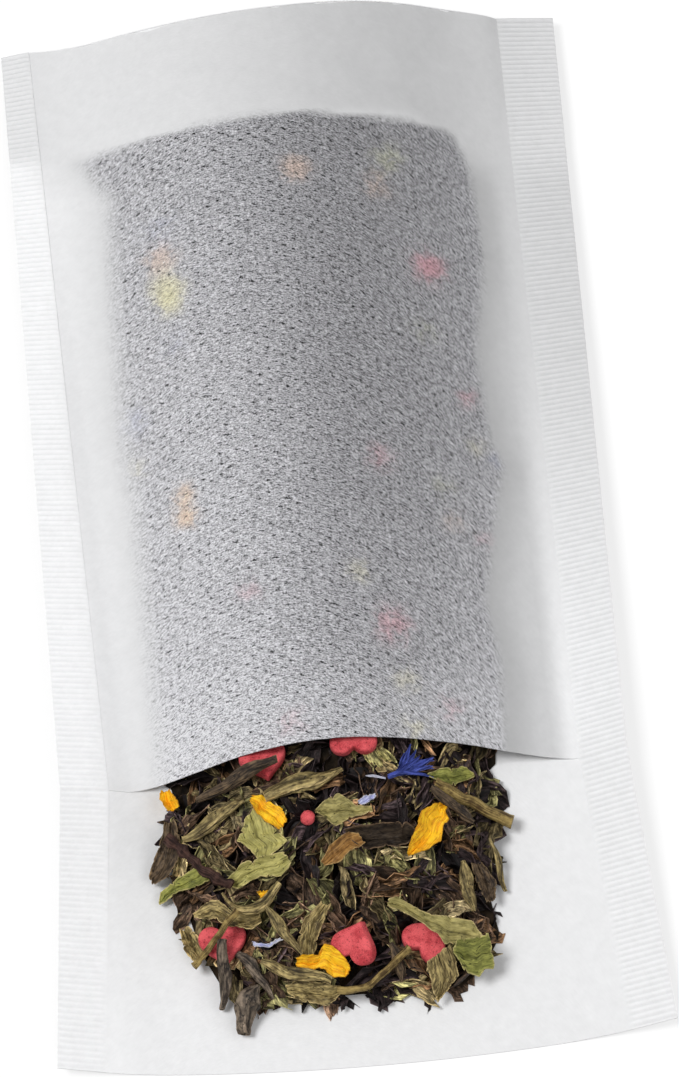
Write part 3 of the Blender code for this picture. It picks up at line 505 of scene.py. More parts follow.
class Finish(Nodes):
    """One procedural material and the nodes that vary it."""

    def __init__(self, name, roughness, specular):
        self.material = bpy.data.materials.new(name)
        self.material.use_nodes = True
        super().__init__(self.material.node_tree)
        self.shader = self.tree.nodes["Principled BSDF"]
        self.shader.inputs["Roughness"].default_value = roughness
        self.shader.inputs["Specular IOR Level"].default_value = specular
        self.place = self.node("ShaderNodeTexCoord", {}, {}, "Object")

    def noise(self, scale, detail=2.0, roughness=0.5, source=None, distortion=0.0):
        """Cloudy noise about 0.5, with this many cells a metre."""
        return self.node("ShaderNodeTexNoise", {}, {
            "Vector": source or self.place, "Scale": scale, "Detail": detail,
            "Roughness": roughness, "Distortion": distortion}, "Fac")

    def streaks(self, along, across_it, roughness=0.5, distortion=0.0, depth=1.0):
        """Noise drawn out along a leaf, with this many cells a metre along and across it."""
        place = self.node("ShaderNodeMapping", {}, {
            "Vector": self.value("leaf place", "Vector"),
            "Scale": (along, across_it, depth)}, "Vector")
        return self.noise(1.0, 2.0, roughness, place, distortion)

    def cracks(self, noise, level, width):
        """0 in thin lines where a noise crosses one level, and 1 beside them."""
        return self.ease(self.maths("ABSOLUTE", noise - level), 0.0, width)

    def cells(self, scale):
        """Distance from the nearest of many scattered points, this many a metre."""
        return self.node("ShaderNodeTexVoronoi", {},
                         {"Vector": self.place, "Scale": scale}, "Distance")

    def axes(self):
        """X, Y and Z of the point, as three numbers."""
        return [self.node("ShaderNodeSeparateXYZ", {}, {0: self.place}, axis) for axis in "XYZ"]

    def vector(self, x, y, z):
        """Three numbers joined as coordinates."""
        return self.node("ShaderNodeCombineXYZ", {}, {0: x, 1: y, 2: z})

    def value(self, label, output="Fac"):
        """One of the mesh's own point values."""
        return self.node("ShaderNodeAttribute", {"attribute_name": label}, {}, output)

    def bump(self, height, depth, strength=1.0):
        """Relief of this depth in metres where the height runs from 0 to 1."""
        self.wear(normal=self.node("ShaderNodeBump", {}, {
            "Height": height, "Distance": depth, "Strength": strength}, "Normal"))

    def wear(self, **inputs):
        """Feed the shader's varying inputs, such as base_color and roughness."""
        for label, value in inputs.items():
            self.feed(self.shader.inputs[label.replace("_", " ").title()], value)
        return self.material


def filter_paper():
    """Thin non-woven paper: white with a soft fibre mottle. Over the tea it turns grey, and
    the web shows: fibres along curves that rise to the left of the bag and fall to the right
    (y plus a share of x squared stays the same), dark dashes on a slanting lattice where
    the web is thin, and hints of coloured pieces, over which the web shows less."""
    paper = Finish("filter paper", 0.85, 0.25)
    x, y, z = paper.axes()
    from_crest = x + FIBRE_CREST
    across_fibres = y + from_crest * from_crest * FIBRE_BEND
    fibres = paper.noise(
        1.0, 2.0, 0.6, paper.vector(x * 1350.0, across_fibres * 4900.0, z * 1350.0))
    grain = paper.noise(
        1.0, 1.0, 0.7, paper.vector(x * 3300.0, across_fibres * 4700.0, z * 3300.0))
    patchy = paper.noise(330.0)
    cloud = paper.noise(600.0, 3.0, 0.65)

    # The lattice: the place in its own cell, from -0.5 to 0.5 along two slanting steps, then
    # in mm along and across the fibres, and how far that is out of the dash in the middle
    stray = (paper.noise(700.0, 1.0) - 0.5) * 0.7
    p = x * (1 / LATTICE_STEP[0]) + stray
    q = (y - p * LATTICE_STEP[1]) * (1 / LATTICE_DROP) - stray * 0.7
    p, q = p % 1.0 - 0.5, q % 1.0 - 0.5
    ahead = p * (LATTICE_STEP[0] / MM)
    aside = p * (LATTICE_STEP[1] / MM) + q * (LATTICE_DROP / MM)
    slant = from_crest * (-2 * FIBRE_BEND)
    u = ahead + slant * aside
    v = aside - slant * ahead
    way_out = u * u * DASH_FADE[0] + v * v * DASH_FADE[1] + (grain - 0.5) * 1.3
    dashes = 1 - paper.ease(way_out, 0.1, 1.9)

    relief = ((grain - 0.5) * 2.9 + (fibres - 0.5) * 2.6 + (cloud - 0.5) * 0.25
              - dashes * paper.ease(patchy, 0.28, 0.58) * 0.66)
    hint = paper.value("hint", "Color")
    amount = paper.value("hint", "Alpha")
    tone = 1.07 + relief * (1.5 - paper.value("tea colour")) * (1 - amount * 0.4)
    blotch = paper.ease(paper.noise(520.0, 2.0, 0.6, distortion=0.6) + amount * 0.55, 0.42, 0.80)
    under = paper.mix(amount * blotch * 0.8, paper.value("tea colour", "Color"), hint)
    dark = paper.mix(1.0, paper.scaled(under, tone), LIGHTEST_WEB, "DARKEN")
    mottle = 1.0 + (cloud - 0.5) * 0.13 + (fibres - 0.5) * 0.11
    # The white is scaled by the point value shade: painted shade and painted light on the sheet
    white = paper.scaled(WHITE, mottle * paper.value("shade"))
    tea = paper.value("tea")
    ragged = tea + (patchy - 0.5) * tea * (1 - tea) * 1.4
    paper.bump(fibres * 0.5 + cloud * 0.6 + grain * 0.25, 0.05 * MM, 0.5)
    return paper.wear(base_color=paper.mix(paper.clamp(ragged), white, dark))


def pressed_sugar():
    """Matt pressed sugar: coral pink in pale and deep patches, with a fine grain and pits, which
    are painted darker as shade.
    """
    sugar = Finish("pink pressed sugar", 0.75, 0.35)
    grain = sugar.noise(5200.0, 3.0, 0.7)
    pits = sugar.ease(sugar.cells(1900.0), 0.10, 0.34)
    tone = sugar.ease(sugar.noise(450.0) + (grain - 0.5) * 0.8, 0.25, 0.75)
    # Painted shade: darker in the pits
    colour = sugar.scaled(sugar.mix(tone, SUGAR_DEEP, SUGAR_PALE), 0.65 + pits * 0.37)
    sugar.bump(grain * 0.7 + pits * 0.6, 0.12 * MM, 0.9)
    return sugar.wear(base_color=colour, roughness=0.65 + grain * 0.25)


def petal(name, pale, deep, edge, ribs=3600.0):
    """A dried petal: fine ribs along it, deeper colour where its ribs run low and a browned edge.
    """
    finish = Finish(name, 0.62, 0.25)
    rib = finish.streaks(350.0, ribs, 0.5, 0.3)
    patch = finish.noise(700.0, 3.0, 0.6)
    tone = finish.ease(rib * 0.65 + patch * 0.5, 0.38, 0.74)
    browned = finish.ease(finish.value("rim") + (patch - 0.5) * 0.8, 0.75, 1.1)
    colour = finish.mix(browned * 0.8, finish.mix(tone, deep, pale), edge)
    crack = finish.cracks(rib, 0.44, 0.035)
    finish.bump(rib + patch * 0.4, 0.12 * MM, 0.9)
    return finish.wear(base_color=finish.scaled(colour, 0.58 + crack * 0.46))


def leaf(name, pale, deep, edge, coarse=1.0):
    """A dried tea leaf: blotches from pale to deep, fine streaks and thin dark cracks along it
    where a stretched noise crosses one level, painted shade in its creases and pleats, edges
    paler, and pale specks that are painted glints."""
    finish = Finish(name, 0.6, 0.18)
    wrinkle = finish.streaks(230.0, 1200.0, 0.5, 0.5)
    streak = finish.streaks(800.0, 3800.0, 0.6, 0.4)
    patch = finish.noise(520.0, 4.0, 0.65)
    fine = finish.streaks(650.0, 3300.0, 0.6)
    middle = 0.40 + 0.35 * coarse
    tone = finish.ease(wrinkle * 0.30 + patch * 0.50 + streak * (0.45 * coarse)
                       + fine * (0.25 * coarse), middle - 0.15, middle + 0.15)
    dried = finish.ease(finish.value("rim") + (patch - 0.5) * 1.8, 0.50, 1.1)
    colour = finish.mix(dried * 0.8, finish.mix(tone, deep, pale), edge)
    crack = finish.cracks(wrinkle, 0.47, 0.011 * (1 + coarse))
    # Pale specks where a fine noise runs high: painted glints
    painted_glint = finish.ease(fine, 0.60, 0.72)
    grain = 1.0 - 0.27 * coarse + finish.ease(fine, 0.38, 0.62) * (0.54 * coarse)
    # Painted shade in creases and pleats from the point value, with the cracks, painted glints and
    # grain
    shade = ((1 - finish.value("painted_hollow_shade") * 0.9) * (0.15 + crack * 0.85)
             * (1.0 + painted_glint * 0.45 * coarse) * grain)
    finish.bump(wrinkle * 0.8 + streak * 0.5 * coarse + fine * 0.3, 0.24 * MM)
    return finish.wear(base_color=finish.scaled(colour, shade), roughness=0.38 + fine * 0.4)


def loose_leaf():
    """Loose dried leaf, each with its own colour: streaked and cracked along its length, paler at
    its edges, partly its own dried edge and partly a painted highlight, with painted glints.
    """
    finish = Finish("loose tea leaf", 0.5, 0.12)
    wrinkle = finish.streaks(330.0, 1500.0, 0.5, 0.5, 900.0)
    patch = finish.noise(900.0, 3.0, 0.6)
    fine = finish.streaks(750.0, 3300.0, 0.6, 0.0, 900.0)
    tone = finish.ease(wrinkle * 0.4 + patch * 0.5 + fine * 0.35, 0.50, 0.80)
    # Paler edges: partly the leaf's dried edge, partly a painted highlight
    edge = finish.ease(finish.value("rim"), 0.86, 1.0)
    crack = finish.cracks(wrinkle, 0.47, 0.025)
    # Pale specks where a fine noise runs high: painted glints
    painted_glint = finish.ease(fine, 0.60, 0.72)
    grain = 0.66 + finish.ease(fine, 0.38, 0.62) * 0.68
    shade = ((0.31 + tone * 1.30 + edge * 0.7) * (0.12 + crack * 0.88)
             * (1.0 + painted_glint * 0.5) * grain)
    finish.bump(wrinkle + fine * 0.3, 0.26 * MM)
    return finish.wear(base_color=finish.scaled(finish.value("tint", "Color"), shade),
                       roughness=0.34 + patch * 0.4)


def tea_bed_finish():
    """The depth of the heap: near black, both the dark leaves and painted shade deep between
    them, with brown leaf crumbs.
    """
    finish = Finish("tea bed", 0.8, 0.05)
    crumbs = finish.cells(620.0)
    patch = finish.noise(900.0, 3.0, 0.6)
    tone = finish.ease(crumbs * 0.5 + patch * 0.6, 0.3, 0.8)
    finish.bump(patch + crumbs * 0.5, 0.3 * MM)
    return finish.wear(base_color=finish.mix(tone, (0.006, 0.005, 0.004), (0.035, 0.024, 0.015)))


def stalk_finish(name, deep, pale):
    """A dried leaf stalk, with fine grooves along it."""
    finish = Finish(name, 0.6, 0.12)
    groove = finish.streaks(250.0, 3200.0)
    tone = finish.ease(groove * 0.6 + finish.noise(700.0, 3.0, 0.6) * 0.6, 0.48, 0.74)
    finish.bump(groove, 0.09 * MM, 0.9)
    return finish.wear(base_color=finish.mix(tone, deep, pale))


# The paper bag

def strip_rows():
    """The strip from the flap's end to the lip, a row at a time: y, the two layers that it
    lies between, and its share of the way from one to the other. At each fold the strip
    turns half a circle: y moves as a sine and the height as a cosine of the angle."""
    fold = 0.1 * MM
    step = 1.1 * MM
    turn = np.linspace(0, math.pi, 9)[1:-1]

    def run(start, stop, layer):
        y = np.linspace(start, stop, int(abs(stop - start) / step) + 2)
        return np.stack(np.broadcast_arrays(y, layer, layer, 0.0), 1)

    def bend(at, below, direction):
        y = at + direction * fold * np.sin(turn)
        return np.stack(np.broadcast_arrays(y, below, below + 1, (1 - np.cos(turn)) / 2), 1)

    closed = Y_CLOSED - fold - PAPER / 2
    nose = Y_GUSSET + fold
    return np.concatenate([
        run(Y_MOUTH - FLAP_LENGTH, closed, 0), bend(closed, 0, 1), run(closed, nose, 1),
        bend(nose, 1, -1), run(nose, closed, 2), bend(closed, 2, 1), run(closed, Y_MOUTH, 3)])


def paper_sheet():
    """Points of the folded strip: rows along it, columns from seam to seam, with slight bulges
    where the filling presses from below. Also which of the points are the front sheet's."""
    rows = strip_rows()
    y = rows[:, :1]
    tuck = 0.35 * MM
    left, right = seal_left(y) - tuck, seal_right(y) + tuck
    x = left + (right - left) * np.linspace(0, 1, 74)
    y = np.broadcast_to(y, x.shape)
    heights = layer_undersides(x, y) + PAPER / 2
    low, high = (heights[rows[:, n].astype(int), np.arange(len(rows))] for n in (1, 2))
    front, back = rows[:, 1:2] == 3, rows[:, 2:3] == 0
    bulge = 0.16 * MM * waviness(x, y, 16 * MM, 5) + 0.07 * MM * waviness(x, y, 5 * MM, 6)
    pressed = (bulge - 0.22 * MM) * smooth((1 - np.abs(across(x, y))) / 0.35)
    z = low + (high - low) * rows[:, 3:] + np.where(front, pressed, 0.0)
    y = y + np.where(front, lip_pull(x, y), 0.0) + np.where(back, flap_bow(x, y), 0.0)
    return np.stack([x, y, z], -1), np.broadcast_to(front, x.shape)


def shadow_sides(ym):
    """Left and right edges of the tea behind the front sheet, as X at a Y, in mm."""
    return (np.interp(ym, edge[:, 0], edge[:, 1]) for edge in (SHADOW_LEFT, SHADOW_RIGHT))


def tea_behind(xm, ym):
    """How strongly the tea shows through the front sheet, from 0 to 1, at places in mm:
    within the edges where it lies against the paper."""
    left, right = shadow_sides(ym)
    top = np.interp(xm, SHADOW_TOP[:, 0], SHADOW_TOP[:, 1])
    return (smooth((xm - left + 1.8) / 5.5) * smooth((right + 1.7 - xm) / 1.8)
            * smooth((top - 0.3 - ym) / 1.2))


def tea_level(xm, ym):
    """How light that tea looks, at places in mm: darkest right of the middle, and lighter
    towards the mouth, most of all on its right."""
    dip = 0.25 * np.exp(-((xm - 8) / np.where(xm < 8, 20, 30)) ** 2)
    return ((0.53 - dip) * (0.85 + 0.26 * np.clip((62 - ym) / 100, 0, 1))
            + 0.075 * np.clip((xm + 5) / 25, 0, 1) * np.clip((5 - ym) / 42, 0, 1)
            + 0.055 * smooth((-22 - ym) / 18))


def painted_paper_shading(xm, ym, front):
    """Painted shade of the paper, a factor on its white, at places in mm: darker where it hangs
    over a cavity and passes light on. That is the gusset, darkest right of its middle, a long
    fade left of the tea, and the strip between the tea and the fold along the right seam, which
    whitens towards the mouth. Left of the tea the white is painted a little lighter, as painted
    light. The flap is even, and painted a little whiter at its left, as painted light."""
    left, right = shadow_sides(ym)
    right = right + 0.8
    # Painted shade right of the tea, over the cavity beside the right seam, and on that seam
    painted_hollow_shade = 0.56 + 0.17 * smooth((xm - right) / 7.0)
    seam = 0.775 + 0.225 * smooth((38 - ym) / 80)
    right_side = painted_hollow_shade + (seam - painted_hollow_shade) * smooth((xm - FOLD_RIGHT + 2.2) / 3.6)
    left_side = ((1.07 + 0.02 * smooth((20 - ym) / 40))
                 * (1 - 0.26 * np.clip((xm - left + 10.3) / 11, 0, 1)))
    body = left_side + (right_side - left_side) * smooth((xm - right + 6.0) / 6.0)
    gusset = 0.90 - 0.22 * np.exp(-((xm - 14) / 25) ** 2)
    corner = smooth((xm - 21) / 9)
    in_gusset = smooth((ym - 66.5 + 10.5 * corner) / (3.0 + 5.0 * corner))
    # Painted light: the flap a little whiter towards its left
    flap = 1.0 + 0.06 * smooth((-32 - xm) / 6)
    return np.where(front, body + (gusset - body) * in_gusset, flap)


def coloured_hints(xm, ym):
    """Colour of the hints at places in mm, with their strength as a fourth number: each hint
    fades as a Gaussian with a flatter top, and where they meet their colours are averaged."""
    hint = np.zeros(xm.shape + (4,))
    for hint_x, hint_y, reach, colour, strength in HINTS:
        out = ((xm - hint_x) ** 2 + (ym - hint_y) ** 2) / reach ** 2
        hint += np.array([*colour, 1.0]) * (strength * np.exp(-out ** 1.3))[..., None]
    hint[..., :3] /= np.maximum(hint[..., 3:], 1e-4)
    hint[..., 3] = np.minimum(hint[..., 3], 1)
    return hint


def paint_values(points, front):
    """Point values of the sheet: tea seen through its front, that tea's colour, the white's
    painted shade, and coloured hints."""
    xm, ym = points[..., 0] / MM, points[..., 1] / MM
    level = tea_level(xm, ym)
    cool = np.stack([level * 0.99, level * 0.985, level * 1.03, np.ones_like(level)], -1)
    return {"tea": tea_behind(xm, ym) * front, "tea colour": cool,
            "shade": painted_paper_shading(xm, ym, front), "hint": coloured_hints(xm, ym) * front[..., None]}


def seam_band(side):
    """One crimped seam: its upper and under face carry the same ridges, a sine along the
    bag, which fade at both edges of the band. Also its point values: no tea shows there, and
    its white has the paper's painted shade, painted lighter on the ridges' crests and darker in
    their grooves."""
    y = np.arange(Y_CLOSED, Y_MOUTH - FLAP_LENGTH - 1e-9, -CRIMP_PITCH / 6)[:, None]
    share = np.array([0.0, 0.05, 0.3, 0.6, 0.86, 0.95, 1.0])
    inner = seal_left(y) if side < 0 else seal_right(y)
    outer = side * half_width(y)
    x = outer + (inner - outer) * share
    fade = smooth(share / 0.05) * smooth((1 - share) / 0.12)
    ridge = np.sin(2 * math.pi * (Y_CLOSED - y) / CRIMP_PITCH) * fade / 2
    relief = CRIMP_HEIGHT * ridge * (1 + 0.25 * waviness(x, y, 9 * MM, 11 + side))
    layers = smooth((y - Y_MOUTH + 0.3 * MM) / (0.5 * MM)) + 2 * over_gusset(y)
    sheets = PAPER + (PAPER + LAYER_FILM) * layers
    film = 0.02 * MM
    low = back_height(x, y) + relief
    bowed = y + flap_bow(x, y)
    top = np.stack([x, bowed, low + sheets + film], -1)
    under = np.stack([x, bowed, low - film], -1)
    shade = painted_paper_shading(x / MM, bowed / MM, bowed > Y_MOUTH)
    none = np.zeros(x.shape + (4,))
    # Painted shade on the crimps: lighter crests and darker grooves, stronger on the right seam
    return wall(top, under), {
        "tea": none[..., 0], "tea colour": none, "hint": none,
        "shade": shade * (1 + (0.10 if side < 0 else 0.17) * ridge)}


def build_paper():
    """The filter bag: the folded strip and its two crimped seams in one mesh."""
    points, front = paper_sheet()
    parts = [(wall(*thicken(points, PAPER)), paint_values(points, front)),
             seam_band(-1), seam_band(1)]
    verts, faces = [], []
    for (part_verts, part_faces), _ in parts:
        start = sum(map(len, verts))
        verts.append(part_verts)
        faces += [[n + start for n in face] for face in part_faces]
    values = {label: np.concatenate([on_both_faces(paint)[label] for _, paint in parts])
              for label in ("tea", "tea colour", "shade", "hint")}
    make_piece("filter_paper_bag", (np.concatenate(verts), faces), filter_paper(),
               ("filter_bag",), values, crease=60)


# The tea

def build_bed():
    """The depth of the blend: a lumpy bed that fills the pocket and lies under the loose
    leaves. Its grid has a row for each share of the way from the left edge to the right."""
    y = np.linspace(Y_GUSSET - 1.5 * MM, Y_MOUTH - SPILL_LENGTH + 2.6 * MM, 130)
    left, right = tea_sides(y)
    place = (0.985 - 0.05 * (y < Y_MOUTH)) * np.linspace(-1, 1, 60)[:, None]
    x = left + (right - left) * (place + 1) / 2
    y = np.broadcast_to(y, x.shape)
    low = flap_top(x, y) + 0.12 * MM
    spilled = smooth((Y_MOUTH + 4 * MM - y) / (6 * MM))
    rough = 0.55 * MM * waviness(x, y, 3.2 * MM, 21) + 0.3 * MM * waviness(x, y, 1.5 * MM, 22)
    high = tea_height(x, y) - (0.9 + 1.9 * spilled) * MM + rough * (0.4 + 0.6 * spilled)
    top = np.stack([x, y, np.maximum(high, low + 0.15 * MM)], -1)
    shape = wall(top, np.stack([x, y, low], -1))
    make_piece("tea_bed", shape, tea_bed_finish(), ("tea_blend",), crease=70)


def strips(rng, count, length, width, curl, twist, bend):
    """Many small leaves as grids in their own axes, in mm: each is a strip bent to an arc
    across its width, with pleats along it, narrowed to broken, slanting ends as a power of
    the way out, turned about its own length and bowed along it, with torn, uneven edges."""
    rows, columns = 7, 5

    def draw(low, high):
        return rng.uniform(low, high, (count, 1, 1))

    t = np.linspace(-1, 1, rows)[:, None]
    v = np.linspace(-1, 1, columns)
    long, wide, arc = draw(*length), draw(*width), draw(*curl)
    end = np.where(t < 0, draw(0.25, 0.85), draw(0.25, 0.85))
    taper = 1 - (1 - end) * np.abs(t) ** draw(1.6, 4.5)
    angle = v * arc / 2
    side = wide / arc * np.sin(angle) * taper
    up = wide / arc * (1 - np.cos(angle)) * taper
    pleats = np.array([0.0, 1.0, -0.7, 1.0, 0.0]) * draw(-0.20, 0.20) * wide
    side = side + rng.normal(0, 0.07, (count, rows, columns)) * wide * np.abs(v)
    up = up + pleats * (1 - 0.4 * np.abs(t)) + rng.normal(0, 0.035, (count, rows, columns)) * wide
    turn = draw(*twist) * t * rng.choice([-1, 1], (count, 1, 1)) + draw(-0.6, 0.6)
    y = side * np.cos(turn) - up * np.sin(turn) + draw(*bend) * (t ** 2 - 0.3)
    z = side * np.sin(turn) + up * np.cos(turn) + draw(-0.9, 0.6) * (t ** 2 - 0.3)
    slant = draw(-0.4, 0.4) * wide * v * np.abs(t) ** 2
    x = long / 2 * t + slant + rng.normal(0, 0.04, (count, 1, columns)) * long * np.abs(t) ** 3
    place = np.stack(np.broadcast_arrays(x, v * wide / 2, draw(0, 90)), -1)
    return np.stack([x, y, z], -1) * MM, place * MM, np.broadcast_to(np.abs(v), x.shape)


def heap_slope(x, y):
    """Slope of the heap's surface along X and Y, by differences."""
    d = 0.8 * MM
    return ((tea_height(x + d, y) - tea_height(x - d, y)) / (2 * d),
            (tea_height(x, y + d) - tea_height(x, y - d)) / (2 * d))


def spots_on_heap(rng, count, edge, right_end):
    """Random places on the spill, evenly spread, up to an edge in mm past its outline and
    up to an X in mm on the right. A negative edge keeps them inside the outline."""
    found = np.zeros((0, 2))
    while len(found) < count:
        x = rng.uniform(-34 * MM, right_end * MM, count * 3)
        y = rng.uniform(Y_MOUTH - SPILL_LENGTH - edge * MM, Y_MOUTH + 5 * MM, count * 3)
        left, right = tea_sides(y)
        inside = (x > left - edge * MM) & (x < right + edge * MM)
        found = np.concatenate([found, np.stack([x, y], 1)[inside]])
    return found[:count, 0], found[:count, 1]


def strew(rng, grids, x, y, depth, tilt):
    """Carry small leaves to places on the heap: each lies along the slope, turned any way and
    tilted a little, at its depth below the surface."""
    count = len(x)
    slope_x, slope_y = heap_slope(x, y)
    lean = rng.normal(0, tilt, (count, 2))
    normal = unit(np.stack([-slope_x + lean[:, 0], -slope_y + lean[:, 1], np.ones(count)], 1))
    heading = rng.uniform(0, 2 * math.pi, count)
    ahead = np.stack([np.cos(heading), np.sin(heading), np.zeros(count)], 1)
    ahead = unit(ahead - normal * (ahead * normal).sum(1, keepdims=True))
    aside = np.cross(normal, ahead)
    centre = np.stack([x, y, tea_height(x, y) - depth], 1)
    axes = np.stack([ahead, aside, normal], 1)
    return centre[:, None, None] + np.einsum("frck,fkl->frcl", grids, axes)


def keep_off_paper(points):
    """Hold points above the flap and, inside the mouth, below the front sheet."""
    x, y, z = points[..., 0], points[..., 1], points[..., 2]
    z = np.maximum(z, flap_top(x, y) + 0.1 * MM)
    inside = smooth((y - lip_line(x) + 0.8 * MM) / (0.6 * MM))
    roof = front_underside(x, y) - 0.2 * MM
    z = np.where(inside > 0, np.minimum(z, roof + (1 - inside) * 6 * MM), z)
    return np.stack([x, y, z], -1)


# Colours of loose leaves, linear
TINTS = {
    "black": (0.020, 0.014, 0.014), "brown": (0.096, 0.060, 0.039),
    "plum": (0.066, 0.045, 0.047), "olive": (0.22, 0.170, 0.084),
    "moss": (0.198, 0.180, 0.077), "straw": (0.37, 0.295, 0.16),
    "russet": (0.194, 0.109, 0.055)}

# Kinds of loose leaf: name, slot and number; in mm, the least and the most of the length, the
# width, the bow along it and the depth below the surface, how far past the heap's outline
# they lie and how far to the right; in radians, the arc across it, the twist and the tilt;
# and the shares of the colours
LOOSE = (
    ("loose_black_leaves", "black_leaf", 210, (4.5, 9.5), (2.8, 6.0), (-0.8, 0.8), (0.8, 3.0),
     -2.6, 30.0, (0.8, 3.4), (0.2, 1.2), 0.30, {"black": 5, "brown": 3, "plum": 2}),
    ("loose_olive_leaves", "olive_leaf", 90, (3.8, 8.5), (2.4, 5.0), (-0.8, 0.8), (0.5, 1.9),
     -2.2, 30.0, (0.5, 2.8), (0.1, 0.9), 0.30,
     {"olive": 4, "moss": 2.4, "brown": 3, "russet": 1.6}),
    ("leaf_chips", "brown_leaf", 80, (2.0, 4.6), (1.6, 3.4), (-0.3, 0.3), (0.3, 1.3),
     -1.2, 30.0, (0.3, 1.6), (0.0, 0.7), 0.4,
     {"olive": 3, "brown": 3, "black": 4, "moss": 1, "straw": 0.3}),
    ("leaf_crumbs", "brown_leaf", 90, (0.7, 1.9), (0.4, 1.1), (-0.1, 0.1), (0.0, 1.0),
     -0.6, 30.0, (0.4, 2.4), (0.0, 0.8), 0.5, {"brown": 3, "black": 3, "straw": 0.9, "olive": 1.5}),
    ("upper_dark_leaves", "black_leaf", 78, (4.0, 8.5), (2.4, 5.2), (-1.0, 1.0), (-0.7, 0.3),
     -2.4, 30.0, (1.6, 4.4), (0.2, 1.5), 0.16, {"black": 4, "brown": 4, "plum": 3, "russet": 1}),
    ("upper_olive_leaves", "olive_leaf", 62, (3.2, 7.5), (1.8, 4.4), (-1.0, 1.0), (-0.8, 0.2),
     -2.2, 30.0, (1.2, 3.8), (0.2, 1.4), 0.16,
     {"olive": 4, "moss": 3, "russet": 1.5, "straw": 0.8}),
    ("upper_left_leaves", "olive_leaf", 44, (3.5, 8.5), (1.8, 4.2), (-1.0, 1.0), (-0.9, 0.1),
     -2.0, -8.0, (1.2, 3.8), (0.2, 1.4), 0.16, {"olive": 4, "moss": 4, "straw": 1, "brown": 1}))


def tints(rng, count, shares):
    """A colour for each small leaf, drawn from named tints in the given shares, with a fourth
    number that is 1."""
    weight = np.array(list(shares.values()), float)
    picked = rng.choice(len(weight), count, p=weight / weight.sum())
    colours = np.array([TINTS[name] for name in shares])[picked]
    return np.c_[colours * np.exp(rng.normal(0, 0.5, (count, 1))), np.ones(count)]


def squares(points):
    """Which square of the plan each point is over, as two indices."""
    return tuple(((points[..., n] - SQUARES_CORNER[n]) / SQUARE).astype(int) for n in (0, 1))


def ceiling(pieces):
    """Lowest height of the given pieces over small squares of the plan, each taking in its
    neighbours: a grid of heights, 1 m where there is none."""
    grid = np.full(SQUARES, 1.0)
    for piece in pieces:
        points = places_of(piece)
        np.minimum.at(grid, squares(points), points[:, 2])
    for axis in (0, 1):
        grid = np.minimum(grid, np.minimum(np.roll(grid, 1, axis), np.roll(grid, -1, axis)))
    return grid


def build_loose_leaves(above):
    """The mass of the blend: twisted dark leaves, half-open olive ones, chips and crumbs,
    strewn over the spill below the larger pieces."""
    finish = loose_leaf()
    roof = ceiling(above)
    for n, (name, slot, count, length, width, bow, depth, edge, right_end, arc, twist, tilt,
            shares) in enumerate(LOOSE):
        rng = np.random.default_rng(1 + n)
        grids, place, rim = strips(rng, count, length, width, arc, twist, bow)
        x, y = spots_on_heap(rng, count, edge, right_end)
        points = keep_off_paper(strew(rng, grids, x, y, rng.uniform(*depth, count) * MM, tilt))
        height = np.minimum(points[..., 2], roof[squares(points)] - 0.2 * MM)
        lowest = flap_top(points[..., 0], points[..., 1]) + 0.08 * MM
        points[..., 2] = np.maximum(height, lowest)
        colour = tints(rng, count, shares)[:, None, None]
        values = {"tint": np.broadcast_to(colour, points.shape[:3] + (4,)),
                  "leaf place": place, "rim": rim}
        make_piece(name, wall(*thicken(points, LOOSE_THICK)), finish,
                   values=on_both_faces(values, count), crease=38)


# Larger pieces that lie on the tea

def slopes(points):
    """Slopes in X and Y of the plane that fits points best."""
    flat = points.reshape(-1, 3)
    rows = np.c_[flat[:, 0], flat[:, 1], np.ones(len(flat))]
    return np.linalg.lstsq(rows, flat[:, 2], rcond=None)[0][:2]


def settle(node, *grids):
    """Lean a piece until its slopes are its solid's, and bring its lowest point to the solid's."""
    solid = places_of(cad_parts[node])
    lean = slopes(solid) - slopes(np.concatenate([g.reshape(-1, 3) for g in grids]))
    leaned = [np.concatenate([g[..., :2], g[..., 2:] + (g[..., :2] @ lean)[..., None]], -1)
              for g in grids]
    lift = solid[:, 2].min() - min(g[..., 2].min() for g in leaned)
    return [g + np.array([0, 0, lift]) for g in leaned]


def on_spill(path):
    """Plan points as (x, distance from the mouth) in mm, in place."""
    return np.array([(x * MM, Y_MOUTH - out * MM) for x, out in path])


def spine(path, rows):
    """A smooth line through plan points, and its sideways direction at each row."""
    t = np.linspace(0, 1, rows)
    line = through(on_spill(path), t)
    ahead = unit(np.gradient(line, axis=0))
    return t, line, np.stack([-ahead[:, 1], ahead[:, 0]], 1)


def side_line(corners, rows):
    """Evenly spaced points along straight runs between a side's corners."""
    corners = on_spill(corners)
    run = np.concatenate([[0], np.cumsum(np.linalg.norm(np.diff(corners, axis=0), axis=1))])
    at = np.linspace(0, run[-1], rows)
    return np.stack([np.interp(at, run, corners[:, n]) for n in (0, 1)], 1)


